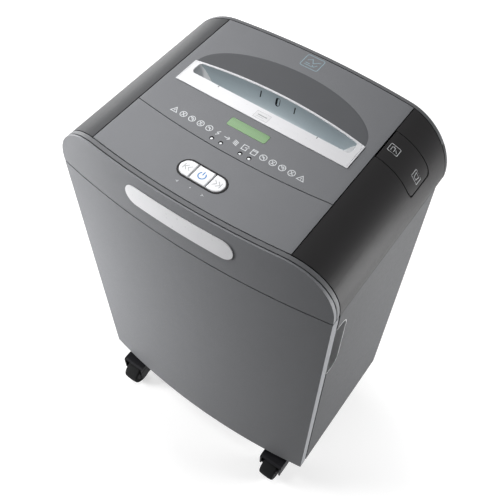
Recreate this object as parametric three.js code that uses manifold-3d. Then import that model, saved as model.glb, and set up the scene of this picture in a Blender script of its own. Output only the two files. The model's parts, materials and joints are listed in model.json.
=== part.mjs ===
// Departmental paper shredder on casters, in millimetres: +Z up, front towards -Y.
// A cabinet with a swing door holds the waste bin. The head above it holds two toothed cutter shafts,
// their gear train and motor, the controls and the feed opening.
import * as THREE from "three";
import { mergeVertices } from "three/addons/utils/BufferGeometryUtils.js";
import Module from "manifold-3d";

const wasm = await Module();
wasm.setup();

// ---------------------------------------------------------------- driving dimensions
const width = 450; // over the side panels
const topZ = 725; // flat top of the head
const frontEdgeY = -150; // front face at its left and right edges
const backY = 145; // flat back of the cabinet
const bow = 20.6; // how far the front, and the head's rear, bow out at the middle
const baseZ = 68; // underside of the base board, on top of the casters
const headHeight = 88; // from the joint over the cabinet to the flat top
const seam = 0.8; // visible gap between neighbouring covers
const fit = 0.3; // gap between pieces that rest on or in each other
const running = 0.4; // radial gap round a turning pin or shaft
const skin = 3; // wall of the moulded covers
const halfWidth = width / 2;
const seamZ = topZ - headHeight; // joint between cabinet and head
const headBottom = seamZ + seam / 2;
const panelTop = seamZ - seam / 2;

// head section
const shoulderX = halfWidth - 79; // where the flat top starts to fall away
const shoulderZ = seamZ + 6; // where the shoulder curve meets the upright flank
const shoulderFacets = 5;
const panelSeamX = halfWidth - 70; // seam between the top panels and the shoulders
const fasciaDepth = 6.5; // from the front face to the seam behind the fascia
const fasciaLean = 3.5; // how far the fascia leans back at its top
const bandDepth = 14.4; // from the front face to the seam behind the trim band
const panelSplit = 104; // from the front face to the seam between control and feed panel
const rearDepth = 6; // thickness of the rear cover

// cabinet
const baseThickness = 14;
const baseInset = 4; // base board behind the cabinet sides
const baseFrontInset = 5.5; // and behind the door face
const baseTop = baseZ + baseThickness;
const doorDepthY = -135; // back edge of the door
const sideFrontY = -131.5; // front edge of the side panels
const cornerRadius = 28; // upright rear corners
const panelWall = 4;
const stileDepth = 35.5; // front stile of a side panel, along Y
const stileWidth = 22; // the same, along X
const backHalfWidth = halfWidth - cornerRadius - 7; // back panel
const recessDepth = 15; // finger recess behind the door's free edge
const recessLength = 27.5;
const recessCorner = 18;
const recessTop = seamZ - 40;
const recessBottom = recessTop - 135;
const hingeX = -halfWidth + 7.5; // door hinge axis
const hingeY = frontEdgeY + 7.5;
const hingePin = 2.5;

// waste bin
const binTopHalf = halfWidth - 29;
const binBottomHalf = binTopHalf - 16;
const binTop = seamZ - 76.7;
const binWall = 2.5;
const binRim = 5; // how far the rim stands out
const binFrontY = -124;
const binBackY = 120;

// cutters
const shaftZ = topZ - 53;
const frontShaftY = 16;
const shaftSpacing = 36;
const rearShaftY = frontShaftY + shaftSpacing;
const discRadius = 20;
const spacerRadius = 14;
const discPitch = 13.4;
const discThickness = 6.3;
const discTeeth = 5;
const toothDepth = 3.2;
const toothRake = 0.16; // turn between a tooth's root and its tip, in radians
const helixStep = 0.21; // turn from one disc to the next, in radians
const combClearance = 2; // between a comb finger and the shaft
const journalRadius = 8;
const plateX = halfWidth - 94; // inner face of the cutter side plates
const plateThickness = 4;
const plateTop = topZ - 19;
const discCount = Math.floor((2 * plateX - discPitch / 2) / discPitch) - 1;

// gears
const syncTeeth = 16;
const syncModule = shaftSpacing / syncTeeth;
const driveTeeth = 36;
const compoundSmallTeeth = 12;
const driveModule = 1.5;
const compoundLargeTeeth = 32;
const pinionTeeth = 10;
const motorModule = 1.5;
const backlash = 0.45;
const compoundY = rearShaftY + ((driveTeeth + compoundSmallTeeth) * driveModule) / 2;
const motorY = compoundY + ((compoundLargeTeeth + pinionTeeth) * motorModule) / 2;

// feed opening
const bezelHalf = halfWidth - 86.5;
const bezelFrontY = 3;
const bezelBackY = 62.5;
const bezelSideY = 47.8; // where the bezel's back edge arc starts
const bezelBandX = 9.5;
const bezelBandBack = 3;
const landingY = 25.6; // front edge of the throat opening
const bezelRise = 1.6; // bezel above the panel
const slotHalf = bezelHalf - 17.5; // paper slot at the foot of the throat
const slotWidth = 8;
const throatTop = topZ - 9;
const throatFoot = topZ - 30;
const feedCentreY = (frontShaftY + rearShaftY) / 2;

// casters
const casterX = halfWidth - 53;
const frontCasterY = -126;
const rearCasterY = 108;
const wheelRadius = 25;
const wheelWidth = 31;
const casterTrail = 35.5; // axle in front of the swivel stem
const pinRadius = 3.5; // caster axle and stem
const hoodWidth = 47;
const hoodWall = 3.2;
const hoodTop = baseZ - 3;
const hoodNose = 10; // hood in front of the axle
const hoodTail = 15; // and behind the stem
const hoodWallFoot = 28.5; // lower edge of the hood's side walls

// ---------------------------------------------------------------- colours
const charcoal = finish(0x5d5f62, 0.42, 0.25);
const darkCharcoal = finish(0x3c3b3c, 0.45, 0.2);
const satinGrey = finish(0x6f7174, 0.4, 0.3);
const scoopGrey = finish(0x55565a, 0.5, 0.2);
const paleSilver = finish(0xf0f0f4, 0.35, 0.1);
const blueGrey = finish(0x93a1a8, 0.5, 0);
const blackPlastic = finish(0x1b1b1f, 0.5, 0);
const wheelGrey = finish(0x3d3e42, 0.6, 0);
const whiteButton = finish(0xf2f3f5, 0.4, 0);
const lcdGreen = finish(0x6cae54, 0.25, 0);
const clearPlastic = finish(0xd8dce0, 0.2, 0);
const binPlastic = finish(0x2f3033, 0.6, 0);
const steel = finish(0x9a9c9f, 0.35, 0.9);
const darkSteel = finish(0x6b6d70, 0.4, 0.9);
const boardGreen = finish(0x2c6b43, 0.6, 0);

function finish(color, roughness, metalness) {
  return new THREE.MeshStandardMaterial({ color, roughness, metalness });
}

// ---------------------------------------------------------------- geometry helpers
// A closed three.js geometry as a solid that can be joined and cut.
function solid(geometry) {
  const plain = geometry.clone();
  plain.deleteAttribute("normal");
  plain.deleteAttribute("uv");
  const merged = mergeVertices(plain, 1e-4);
  const vertProperties = merged.attributes.position.array;
  const triVerts = new Uint32Array(merged.index.array);
  return new wasm.Manifold(new wasm.Mesh({ numProp: 3, vertProperties, triVerts }));
}

function join(...parts) {
  return parts.reduce((all, next) => all.add(next));
}

function cut(body, ...tools) {
  return tools.reduce((left, tool) => left.subtract(tool), body);
}

// A named mesh from a solid.
function piece(name, body, material) {
  const { vertProperties, triVerts } = body.getMesh();
  const geometry = new THREE.BufferGeometry();
  geometry.setAttribute("position", new THREE.BufferAttribute(vertProperties, 3));
  geometry.setIndex(new THREE.BufferAttribute(triVerts, 1));
  geometry.computeVertexNormals();
  const mesh = new THREE.Mesh(geometry, material);
  mesh.name = name;
  return mesh;
}

function box(x0, x1, y0, y1, z0, z1) {
  const geometry = new THREE.BoxGeometry(x1 - x0, y1 - y0, z1 - z0);
  geometry.translate((x0 + x1) / 2, (y0 + y1) / 2, (z0 + z1) / 2);
  return solid(geometry);
}

// The outline's points, without the doubles where a line meets an arc.
function cleanPoints(shape, curveSegments) {
  const points = shape.getPoints(curveSegments);
  return points.filter((p, i) => p.distanceTo(points[(i || points.length) - 1]) > 1e-3);
}

function extrude(shape, depth, curveSegments) {
  const clean = new THREE.Shape(cleanPoints(shape, curveSegments));
  return new THREE.ExtrudeGeometry(clean, { depth, bevelEnabled: false });
}

// An outline drawn in plan (X, Y), from z0 up to z1.
function upright(shape, z0, z1, curveSegments = 4) {
  return solid(extrude(shape, z1 - z0, curveSegments).translate(0, 0, z0));
}

// An outline drawn across the machine (X, Z), from y0 back to y1.
function alongY(shape, y0, y1, curveSegments = 4) {
  const geometry = extrude(shape, y1 - y0, curveSegments);
  return solid(geometry.rotateX(Math.PI / 2).translate(0, y1, 0));
}

// An outline drawn from the side (Y, Z), from x0 to x1.
function alongX(shape, x0, x1, curveSegments = 4) {
  const turn = new THREE.Matrix4().makeBasis(
    new THREE.Vector3(0, 1, 0),
    new THREE.Vector3(0, 0, 1),
    new THREE.Vector3(1, 0, 0),
  );
  return solid(extrude(shape, x1 - x0, curveSegments).applyMatrix4(turn).translate(x0, 0, 0));
}

function postZ(radius, x, y, z0, z1, sides = 12) {
  const geometry = new THREE.CylinderGeometry(radius, radius, z1 - z0, sides);
  return solid(geometry.rotateX(Math.PI / 2).translate(x, y, (z0 + z1) / 2));
}

function rodX(radius, x0, x1, y, z, sides = 12) {
  const geometry = new THREE.CylinderGeometry(radius, radius, x1 - x0, sides);
  return solid(geometry.rotateZ(Math.PI / 2).translate((x0 + x1) / 2, y, z));
}

function rodY(radius, y0, y1, x, z, sides = 12) {
  const geometry = new THREE.CylinderGeometry(radius, radius, y1 - y0, sides);
  return solid(geometry.translate(x, (y0 + y1) / 2, z));
}

function outline(points) {
  return new THREE.Shape(points.map(([x, y]) => new THREE.Vector2(x, y)));
}

// A rectangle with rounded corners, by its edges.
function rounded(x0, x1, y0, y1, r) {
  const shape = new THREE.Shape();
  shape.moveTo(x0 + r, y0);
  shape.lineTo(x1 - r, y0);
  shape.absarc(x1 - r, y0 + r, r, -Math.PI / 2, 0);
  shape.lineTo(x1, y1 - r);
  shape.absarc(x1 - r, y1 - r, r, 0, Math.PI / 2);
  shape.lineTo(x0 + r, y1);
  shape.absarc(x0 + r, y1 - r, r, Math.PI / 2, Math.PI);
  shape.lineTo(x0, y0 + r);
  shape.absarc(x0 + r, y0 + r, r, Math.PI, 1.5 * Math.PI);
  return shape;
}

// A closed skin over a stack of level rings, each { z, points } with as many points as the next.
function loft(rings) {
  const count = rings[0].points.length;
  const positions = rings.flatMap(({ z, points }) => points.flatMap(([x, y]) => [x, y, z]));
  const index = [];
  for (let ring = 0; ring + 1 < rings.length; ring++)
    for (let i = 0; i < count; i++) {
      const a = ring * count + i;
      const b = ring * count + ((i + 1) % count);
      index.push(a, b, b + count, a, b + count, a + count);
    }
  const flat = rings[0].points.map(([x, y]) => new THREE.Vector2(x, y));
  const last = (rings.length - 1) * count;
  for (const [a, b, c] of THREE.ShapeUtils.triangulateShape(flat, [])) {
    index.push(a, c, b);
    index.push(last + a, last + b, last + c);
  }
  const geometry = new THREE.BufferGeometry();
  geometry.setAttribute("position", new THREE.Float32BufferAttribute(positions, 3));
  geometry.setIndex(index);
  return solid(geometry);
}

// ---------------------------------------------------------------- the bowed front and rear
const bowRadius = (halfWidth ** 2 + bow ** 2) / (2 * bow);

// Depth of the bowed front face at x, or of a line a given distance behind it.
function frontY(x, behind = 0) {
  return frontEdgeY - bow + bowRadius - Math.sqrt((bowRadius - behind) ** 2 - x * x);
}

// Depth of the head's bowed rear face at x, or of a line a given distance in front of it.
function rearY(x, ahead = 0) {
  return backY + bow - bowRadius + Math.sqrt((bowRadius - ahead) ** 2 - x * x);
}

// Plan region from x0 to x1 between two depth lines.
function planBetween(x0, x1, nearLine, farLine, steps = 8) {
  const xs = Array.from({ length: steps + 1 }, (_, i) => x0 + ((x1 - x0) * i) / steps);
  const near = xs.map((x) => [x, nearLine(x)]);
  const far = xs.map((x) => [x, farLine(x)]).reverse();
  return outline([...near, ...far]);
}

// ---------------------------------------------------------------- head covers
// Section across the head: upright flanks, elliptic shoulders and flat top.
function headSection(inset, bottom = headBottom) {
  const flank = halfWidth - inset;
  const top = topZ - inset;
  const shape = new THREE.Shape();
  shape.moveTo(-flank, bottom);
  shape.lineTo(flank, bottom);
  shape.absellipse(shoulderX, shoulderZ, flank - shoulderX, top - shoulderZ, 0, Math.PI / 2);
  shape.absellipse(-shoulderX, shoulderZ, flank - shoulderX, top - shoulderZ, Math.PI / 2, Math.PI);
  return shape;
}

const headFrontY = frontY(0) - 10;
const headBackY = rearY(0) + 5;
const headBlock = alongY(headSection(0), headFrontY, headBackY, shoulderFacets);
const headHollow = alongY(headSection(skin, seamZ - 5), headFrontY, headBackY, shoulderFacets);
const headSkin = headBlock.subtract(headHollow);

function headPart(x0, x1, nearLine, farLine, steps) {
  const plan = upright(planBetween(x0, x1, nearLine, farLine, steps), seamZ - 1, topZ + 1);
  return headSkin.intersect(plan);
}

const fasciaBackLine = (x) => frontY(x, fasciaDepth - 0.6);
const bandFrontLine = (x) => frontY(x, fasciaDepth + 0.6);
const bandBackLine = (x) => frontY(x, bandDepth - seam / 2);
const coverFrontLine = (x) => frontY(x, bandDepth + seam / 2);
const controlBackLine = (x) => frontY(x, panelSplit - seam / 2);
const feedFrontLine = (x) => frontY(x, panelSplit + seam / 2);
const coverBackLine = (x) => rearY(x, rearDepth + seam / 2);
const rearFrontLine = (x) => rearY(x, rearDepth - seam / 2);

function frontBand() {
  return headPart(-halfWidth, halfWidth, bandFrontLine, bandBackLine);
}

// A layer that leans back towards its top in an easy curve, like the fascia's face.
// Both its faces are given by how far they stand in front of that face (behind it if negative).
function leaningLayer(nearAhead, farLine, half, steps) {
  const levels = 4;
  const rings = Array.from({ length: levels + 1 }, (_, i) => {
    const rise = i / levels;
    const lean = fasciaLean * rise * rise;
    const nearLine = (x) => frontY(x, lean - nearAhead);
    const plan = planBetween(-half, half, nearLine, (x) => farLine(x, lean), steps);
    const points = cleanPoints(plan, 1).map((p) => [p.x, p.y]);
    return { z: headBottom + (topZ - headBottom) * rise, points };
  });
  return loft(rings);
}

function frontFascia() {
  return leaningLayer(0, fasciaBackLine, halfWidth, 8).intersect(headBlock);
}

function panelX(side) {
  return side * (panelSeamX - seam / 2);
}

function controlPanel() {
  const plate = headPart(panelX(-1), panelX(1), coverFrontLine, controlBackLine, 8);
  const hole = pill(surroundLength / 2 + fit, surroundWidth / 2 + fit);
  const opening = upright(hole, topZ - 10, topZ + 1);
  const posts = corners(boardHalfX - 6, boardFrontY + 6, boardBackY - 6).map(([x, y]) =>
    postZ(3, x, y, boardZ + boardThickness + fit, topZ - skin + 0.1, 8),
  );
  return join(cut(plate, opening), ...posts);
}

function corners(halfX, y0, y1) {
  return [[-halfX, y0], [halfX, y0], [-halfX, y1], [halfX, y1]];
}

// ---------------------------------------------------------------- buttons
const buttonY = -114.5;
const surroundLength = 74;
const surroundWidth = 30;
const buttonLength = surroundLength - 5;
const buttonWidth = surroundWidth - 5;
const middleButtonHalf = buttonLength * 0.179;
const buttonGap = 1.7;
const buttonTravel = 1.5;
const buttonTop = topZ + 1.3;
const buttonFlangeTop = topZ - 8.4;
const buttonFlange = 1.3;

// A rectangle with half-round ends, by its half length and half width.
function pill(halfLength, halfPillWidth) {
  const straight = halfLength - halfPillWidth;
  const shape = new THREE.Shape();
  shape.absarc(straight, buttonY, halfPillWidth, -Math.PI / 2, Math.PI / 2);
  shape.absarc(-straight, buttonY, halfPillWidth, Math.PI / 2, 1.5 * Math.PI);
  return shape;
}

function buttonSurround() {
  const bottom = buttonFlangeTop + fit;
  const ring = upright(pill(surroundLength / 2, surroundWidth / 2), bottom, topZ + 0.6);
  const wide = pill(surroundLength / 2 + 3, surroundWidth / 2 + 3);
  const flange = upright(wide, topZ - 6, topZ - skin - fit);
  const keys = pill(buttonLength / 2 + running, buttonWidth / 2 + running);
  return cut(join(ring, flange), upright(keys, bottom - 1, topZ + 2));
}

// One key: the slice from x0 to x1 of a pill with a flange at its foot, which holds it in.
function button(x0, x1) {
  const foot = buttonFlangeTop - buttonFlange;
  const cap = upright(pill(buttonLength / 2, buttonWidth / 2), foot, buttonTop);
  const wide = pill(buttonLength / 2 + 1.5, (surroundWidth - 1) / 2);
  const flange = upright(wide, foot, buttonFlangeTop);
  const slice = box(x0, x1, buttonY - surroundWidth, buttonY + surroundWidth, topZ - 20, topZ + 10);
  return join(cap, flange).intersect(slice);
}

// ---------------------------------------------------------------- feed panel, display and throat
const lcdHalfX = 30.8;
const lcdHalfY = 7.8;
const lcdY = -17.2;
const ledY = -56.3;
const ledXs = [-30, -15.5, 15.2, 29.4];
const ledRadius = 2.6;
const scoopBackY = 116;
const scoopFrontY = 48;
const scoopHalf = bezelHalf - 1;
const scoopDepth = 5.5;

// Outline of the feed bezel grown by a margin: straight front and sides, bowed back edge.
function bezelOutline(margin) {
  const half = bezelHalf + margin;
  const back = (x) => {
    const sagitta = bezelBackY - bezelSideY;
    return bezelSideY + margin + sagitta * (1 - (x / half) ** 2);
  };
  return planBetween(-half, half, () => bezelFrontY - margin, back, 6);
}

// The throat opening inside the bezel, at its top.
function throatBackY(x, margin = 0) {
  const half = bezelHalf - bezelBandX;
  const sagitta = (bezelBackY - bezelSideY) * (half / bezelHalf) ** 2;
  return bezelBackY - bezelBandBack - sagitta * (x / half) ** 2 + margin;
}

// Throat rings: the back wall falls steeply at first, then curls forward to the paper slot.
function throatRings(margin, levels = 4) {
  const topHalf = bezelHalf - bezelBandX;
  return Array.from({ length: levels + 1 }, (_, i) => {
    const rise = i / levels;
    const half = slotHalf + (topHalf - slotHalf) * rise + margin;
    const open = 1 - Math.sqrt(1 - rise * rise);
    const slotFront = feedCentreY - slotWidth / 2;
    const slotBack = feedCentreY + slotWidth / 2;
    const near = slotFront + (landingY - slotFront) * rise - margin;
    const far = (x) => slotBack + (throatBackY(x) - slotBack) * open + margin;
    const plan = planBetween(-half, half, () => near, far, 6);
    const points = cleanPoints(plan, 1).map((p) => [p.x, p.y]);
    return { z: throatFoot + (throatTop - throatFoot) * rise, points };
  });
}

function extendRings(rings, above, below) {
  const first = rings[0];
  const last = rings[rings.length - 1];
  const foot = { z: first.z - below, points: first.points };
  const head = { z: last.z + above, points: last.points };
  return [foot, ...rings, head];
}

function feedThroat() {
  const wall = 2.5;
  const shell = loft(throatRings(wall));
  const flange = upright(bezelOutline(-3.2), throatTop - 2, throatTop);
  const cavity = loft(extendRings(throatRings(0), 5, 5));
  return cut(join(shell, flange), cavity);
}

function feedBezel() {
  const top = upright(bezelOutline(0), topZ + fit, topZ + bezelRise);
  const skirt = upright(bezelOutline(-2.6), throatTop + fit, topZ + bezelRise - 0.2);
  const skirtHollow = upright(bezelOutline(-4.8), topZ - 20, topZ + fit);
  const far = (x) => throatBackY(x);
  const half = bezelHalf - bezelBandX;
  const opening = upright(planBetween(-half, half, () => landingY, far, 6), topZ - 20, topZ + 5);
  const landing = box(-half, half, landingY - 2, landingY, topZ - 8, topZ + 1);
  return cut(join(top, cut(skirt, skirtHollow), landing), opening);
}

function feedPanel() {
  const plate = headPart(panelX(-1), panelX(1), feedFrontLine, coverBackLine);
  const scoopPlan = (grow) => {
    const shape = new THREE.Shape();
    shape.absellipse(0, scoopFrontY, scoopHalf + grow, scoopBackY - scoopFrontY + grow, 0, Math.PI);
    return shape;
  };
  const under = upright(scoopPlan(skin), topZ - scoopDepth - skin, topZ - 1, 6);
  const wedge = outline([
    [scoopBackY, topZ],
    [scoopBackY, topZ + 9],
    [scoopFrontY, topZ + 9],
    [scoopFrontY, topZ - scoopDepth],
  ]);
  const column = upright(scoopPlan(0), topZ - 20, topZ + 10, 6);
  const scoop = column.intersect(alongX(wedge, -width, width));
  const opening = upright(bezelOutline(-2.6 + fit), topZ - 20, topZ + 2);
  const lcdOpening = upright(lcdOutline(fit), topZ - 10, topZ + 1, 2);
  const ledHoles = ledXs.map((x) => postZ(ledRadius + running, x, ledY, topZ - 10, topZ + 1, 10));
  const posts = corners(displayHalfX - 4, displayFrontY + 4, displayBackY - 4).map(([x, y]) =>
    postZ(2.5, x, y, displayZ + boardThickness + fit, topZ - skin + 0.1, 8),
  );
  return join(cut(join(plate, under), scoop, opening, lcdOpening, ...ledHoles), ...posts);
}

function lcdOutline(grow) {
  const half = lcdHalfX + grow;
  return rounded(-half, half, lcdY - lcdHalfY - grow, lcdY + lcdHalfY + grow, 3);
}

function lcdWindow() {
  return upright(lcdOutline(0), topZ - skin, topZ + 0.2, 2);
}

const boardThickness = 1.6;
const boardZ = topZ - 21;
const boardHalfX = 70;
const boardFrontY = -140;
const boardBackY = -84;
const displayZ = topZ - 14;
const displayHalfX = 46;
const displayFrontY = -62;
const displayBackY = -4;

function ledLightGuide() {
  const foot = displayZ + boardThickness + fit;
  const bar = box(ledXs[0] - 4, ledXs[3] + 4, ledY - 3.5, ledY + 3.5, foot, foot + 2);
  const guides = ledXs.map((x) => postZ(ledRadius, x, ledY, foot + 1, topZ + 0.3, 10));
  return join(bar, ...guides);
}

function displayBoard() {
  const half = displayHalfX;
  const board = box(-half, half, displayFrontY, displayBackY, displayZ, displayZ + boardThickness);
  const glass = box(-35, 35, lcdY - 11, lcdY + 11, displayZ + 1, topZ - skin - fit);
  return join(board, glass);
}

function controlBoard() {
  const half = boardHalfX;
  const board = box(-half, half, boardFrontY, boardBackY, boardZ, boardZ + boardThickness);
  const switchTop = buttonFlangeTop - 1.3 - buttonTravel - fit;
  const tactSwitches = [-24, 0, 24].map((x) =>
    box(x - 3, x + 3, buttonY - 3, buttonY + 3, boardZ + 1, switchTop),
  );
  const relay = box(38, 56, -104, -92, boardZ + 1, boardZ + 14);
  const chip = box(-58, -40, -128, -110, boardZ + 1, boardZ + 4);
  return join(board, relay, chip, ...tactSwitches);
}

// ---------------------------------------------------------------- shoulders and compartment
const lidY0 = 42.5;
const lidY1 = 99;
const lidOuterX = halfWidth - 8.3;
const lidPivotX = panelSeamX + 4.7;
const lidBarrel = 3.5;
const lidPivotZ = topZ - lidBarrel;
const lidPin = 1.5;
const pocketWall = 2;
const pocketFloorZ = seamZ + 17;
const pocketInnerX = panelSeamX + 10;
const pocketOuterX = halfWidth - 14;
const lidSillZ = seamZ + 43; // where the lid's lower edge rests on the flank

function shoulder(side) {
  const inner = panelSeamX + seam / 2;
  const x0 = side > 0 ? inner : -halfWidth;
  const x1 = side > 0 ? halfWidth : -inner;
  return headPart(x0, x1, coverFrontLine, coverBackLine, 3);
}

function lidPlan(grow) {
  const r = 7;
  const shape = new THREE.Shape();
  const y0 = lidY0 + seam - grow;
  const y1 = lidY1 - seam + grow;
  const x1 = lidOuterX - seam + grow;
  shape.moveTo(lidPivotX, y0);
  shape.lineTo(x1 - r, y0);
  shape.absarc(x1 - r, y0 + r, r, -Math.PI / 2, 0);
  shape.absarc(x1 - r, y1 - r, r, 0, Math.PI / 2);
  shape.lineTo(lidPivotX, y1);
  return shape;
}

function rightShoulder() {
  const inside = alongY(headSection(skin - 0.5), headFrontY, headBackY, shoulderFacets);
  const left = panelSeamX + 1.9;
  const y0 = lidY0 - pocketWall;
  const y1 = lidY1 + pocketWall;
  const right = pocketOuterX + pocketWall;
  const block = box(left, right, y0, y1, pocketFloorZ - pocketWall, topZ).intersect(inside);
  const pocket = box(pocketInnerX, pocketOuterX, lidY0 + 1, lidY1 - 1, pocketFloorZ, topZ + 5);
  const window = upright(lidPlan(seam), lidSillZ, topZ + 5);
  const underLid = alongY(headSection(skin + fit), headFrontY, headBackY, shoulderFacets);
  const rebate = window.subtract(underLid);
  const hingeRoom = box(left - 5, pocketInnerX + 0.1, lidY0, lidY1, lidPivotZ - lidBarrel - 2, topZ + 5);
  const pinHole = rodY(lidPin + running, y0 + 0.4, y1 - 0.4, lidPivotX, lidPivotZ, 8);
  return cut(join(shoulder(1), block), pocket, rebate, hingeRoom, pinHole);
}

function compartmentLid() {
  const shell = headSkin.intersect(upright(lidPlan(0), lidSillZ + seam, topZ + 5));
  const barrel = rodY(lidBarrel, lidY0 + seam, lidY1 - seam, lidPivotX, lidPivotZ, 12);
  const pins = rodY(lidPin, lidY0 - 1.2, lidY1 + 1.2, lidPivotX, lidPivotZ, 8);
  return join(shell, barrel, pins);
}

// ---------------------------------------------------------------- rear cover with mains inlet and switch
const ventCount = 12; // upright cooling slots
const ventPitch = 14;
const ventHalf = 2;
const ventX = -halfWidth + 75; // the first slot
const inletX = halfWidth - 97;
const switchX = inletX - 36;
const mainsZ = topZ - 53;
const inletHalfX = 13.7;
const inletHalfZ = 10;
const switchHalfX = 7;
const switchHalfZ = 10.5;
const mainsPanel = { x0: switchX - 16, x1: inletX + 22, z0: mainsZ - 18, z1: mainsZ + 18 };
const mainsFaceY = rearY(mainsPanel.x1, 3.4);

function rearCover() {
  const plan = planBetween(-halfWidth, halfWidth, rearFrontLine, (x) => rearY(x));
  const wall = upright(plan, headBottom, topZ + 1).intersect(headBlock);
  const { x0, x1, z0, z1 } = mainsPanel;
  const backing = box(x0 - 2, x1 + 2, mainsFaceY - 4, rearY(x1) - 1, z0 - 2, z1 + 2);
  const pocket = box(x0, x1, mainsFaceY, headBackY, z0, z1);
  const inletHole = mainsOpening(inletX, inletHalfX, inletHalfZ);
  const switchHole = mainsOpening(switchX, switchHalfX, switchHalfZ);
  const slots = Array.from({ length: ventCount }, (_, i) => {
    const x = ventX + i * ventPitch;
    return box(x - ventHalf, x + ventHalf, rearY(0) - 30, headBackY, mainsZ - 17, mainsZ + 23);
  });
  return cut(join(wall, backing), pocket, inletHole, switchHole, ...slots);
}

// A box centred on (x, mainsZ + dz), its depth given from the flat mains face.
function mainsBlock(x, halfX, halfZ, depth0, depth1, dz = 0) {
  const z = mainsZ + dz;
  return box(x - halfX, x + halfX, mainsFaceY + depth0, mainsFaceY + depth1, z - halfZ, z + halfZ);
}

function mainsOpening(x, halfX, halfZ) {
  return mainsBlock(x, halfX + fit, halfZ + fit, -10, 10);
}

function mainsInlet() {
  const flange = mainsBlock(inletX, inletHalfX + 1.5, inletHalfZ + 1.5, fit, 2);
  const body = mainsBlock(inletX, inletHalfX, inletHalfZ, -18, 1);
  const mouth = outline([
    [inletX - 12, mainsZ - 8],
    [inletX + 12, mainsZ - 8],
    [inletX + 12, mainsZ + 3],
    [inletX + 7.5, mainsZ + 8],
    [inletX - 7.5, mainsZ + 8],
    [inletX - 12, mainsZ + 3],
  ]);
  const cavity = alongY(mouth, mainsFaceY - 15, mainsFaceY + 5);
  const blades = [[-7, -2], [0, 2], [7, -2]].map(([x, z]) =>
    mainsBlock(inletX + x, 1, 2, -16, -2, z),
  );
  return join(cut(join(flange, body), cavity), ...blades);
}

function mainsSwitchBody() {
  const flange = mainsBlock(switchX, switchHalfX + 1.5, switchHalfZ + 1.5, fit, 2);
  const body = mainsBlock(switchX, switchHalfX, switchHalfZ, -16, 1);
  const well = mainsBlock(switchX, switchHalfX - 1.5, switchHalfZ - 1, -12, 5);
  const pinHole = rodX(1.5 + running, switchX - 6.5, switchX + 6.5, rockerY, mainsZ, 8);
  return cut(join(flange, body), well, pinHole);
}

const rockerY = mainsFaceY - 3;
const rockerTilt = 8;

// The rocker in its own frame, with the pivot at the origin.
function rocker() {
  const profile = new THREE.Shape();
  profile.moveTo(-4, -5);
  profile.lineTo(2.5, -8.2);
  profile.quadraticCurveTo(4.6, -8.4, 5.2, -7.6);
  profile.quadraticCurveTo(3.2, 0, 5.2, 7.6);
  profile.quadraticCurveTo(4.6, 8.4, 2.5, 8.2);
  profile.lineTo(-4, 5);
  const body = alongX(profile, -5.5 + running, 5.5 - running, 4);
  const pin = rodX(1.5, -6.2, 6.2, 0, 0, 8);
  return join(body, pin);
}

// ---------------------------------------------------------------- head chassis
const chassisZ0 = panelTop + fit; // underside of the chassis
const chassisZ1 = chassisZ0 + skin;
const rimWall = 2.5;
const ribHalf = 1.5;
const dischargeHalf = plateX - 5;
const dischargeY0 = -14;
const dischargeY1 = 82;

function headChassis() {
  const sideX = halfWidth - skin - fit;
  const nearLine = (x) => frontY(x, fasciaDepth);
  const farLine = (x) => rearY(x, rearDepth);
  const floorPlan = planBetween(-sideX, sideX, nearLine, farLine);
  const floor = upright(floorPlan, chassisZ0, chassisZ1);
  const rimX = sideX - rimWall;
  const outer = planBetween(-sideX, sideX, (x) => nearLine(x) + 5.5, farLine);
  const inner = planBetween(-rimX, rimX, (x) => nearLine(x) + 5.5 + rimWall, (x) => farLine(x) - rimWall);
  const hollow = upright(inner, chassisZ0, chassisZ1 + 20);
  const rim = upright(outer, chassisZ1 - 1, chassisZ1 + 12).subtract(hollow);
  const ribs = [-1, 1].map((side) => {
    const x = side * panelSeamX;
    const y0 = coverFrontLine(x) + 2;
    const y1 = coverBackLine(x) - 2;
    return box(x - ribHalf, x + ribHalf, y0, y1, chassisZ1 - 1, topZ - skin - fit);
  });
  const windowX = -panelSeamX - 5;
  const gearWindow = box(windowX, windowX + 10, frontShaftY - 28, motorY + 20, chassisZ1, plateTop);
  const notchZ = lidPivotZ - lidBarrel - 3;
  const lidNotch = box(panelSeamX - 5, panelSeamX + 5, lidY0 - 3, lidY1 + 3, notchZ, topZ);
  const shreds = rounded(-dischargeHalf, dischargeHalf, dischargeY0, dischargeY1, 4);
  const discharge = upright(shreds, chassisZ0 - 1, chassisZ1 + 1, 1);
  const pin = postZ(hingePin, hingeX, hingeY, panelTop - 10, chassisZ0 + 1, 12);
  const clearOfCovers = alongY(headSection(skin + fit, panelTop), headFrontY, headBackY, shoulderFacets);
  const tray = join(floor, rim, ...ribs).intersect(clearOfCovers);
  return join(cut(tray, gearWindow, lidNotch, discharge), pin);
}

// ---------------------------------------------------------------- cutters
// One cutter disc: hooked teeth round a disc, turned by an angle so that the teeth run in a helix.
function cutterDisc(x, y, turn) {
  const points = [];
  for (let i = 0; i < discTeeth; i++) {
    const start = turn + (i * 2 * Math.PI) / discTeeth;
    for (const [angle, radius] of [[0, discRadius - toothDepth], [toothRake, discRadius]]) {
      const a = start + angle;
      points.push([y + radius * Math.cos(a), shaftZ + radius * Math.sin(a)]);
    }
  }
  return alongX(outline(points), x - discThickness / 2, x + discThickness / 2);
}

function cutterShaft(y, leftEnd, firstDiscX, direction) {
  const core = rodX(spacerRadius, -plateX + 0.6, plateX - 0.6, y, shaftZ, 8);
  const journals = rodX(journalRadius, leftEnd, plateX + plateThickness + 4, y, shaftZ, 12);
  const discs = Array.from({ length: discCount }, (_, i) =>
    cutterDisc(firstDiscX + i * discPitch, y, direction * i * helixStep),
  );
  return join(core, journals, ...discs);
}

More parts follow.
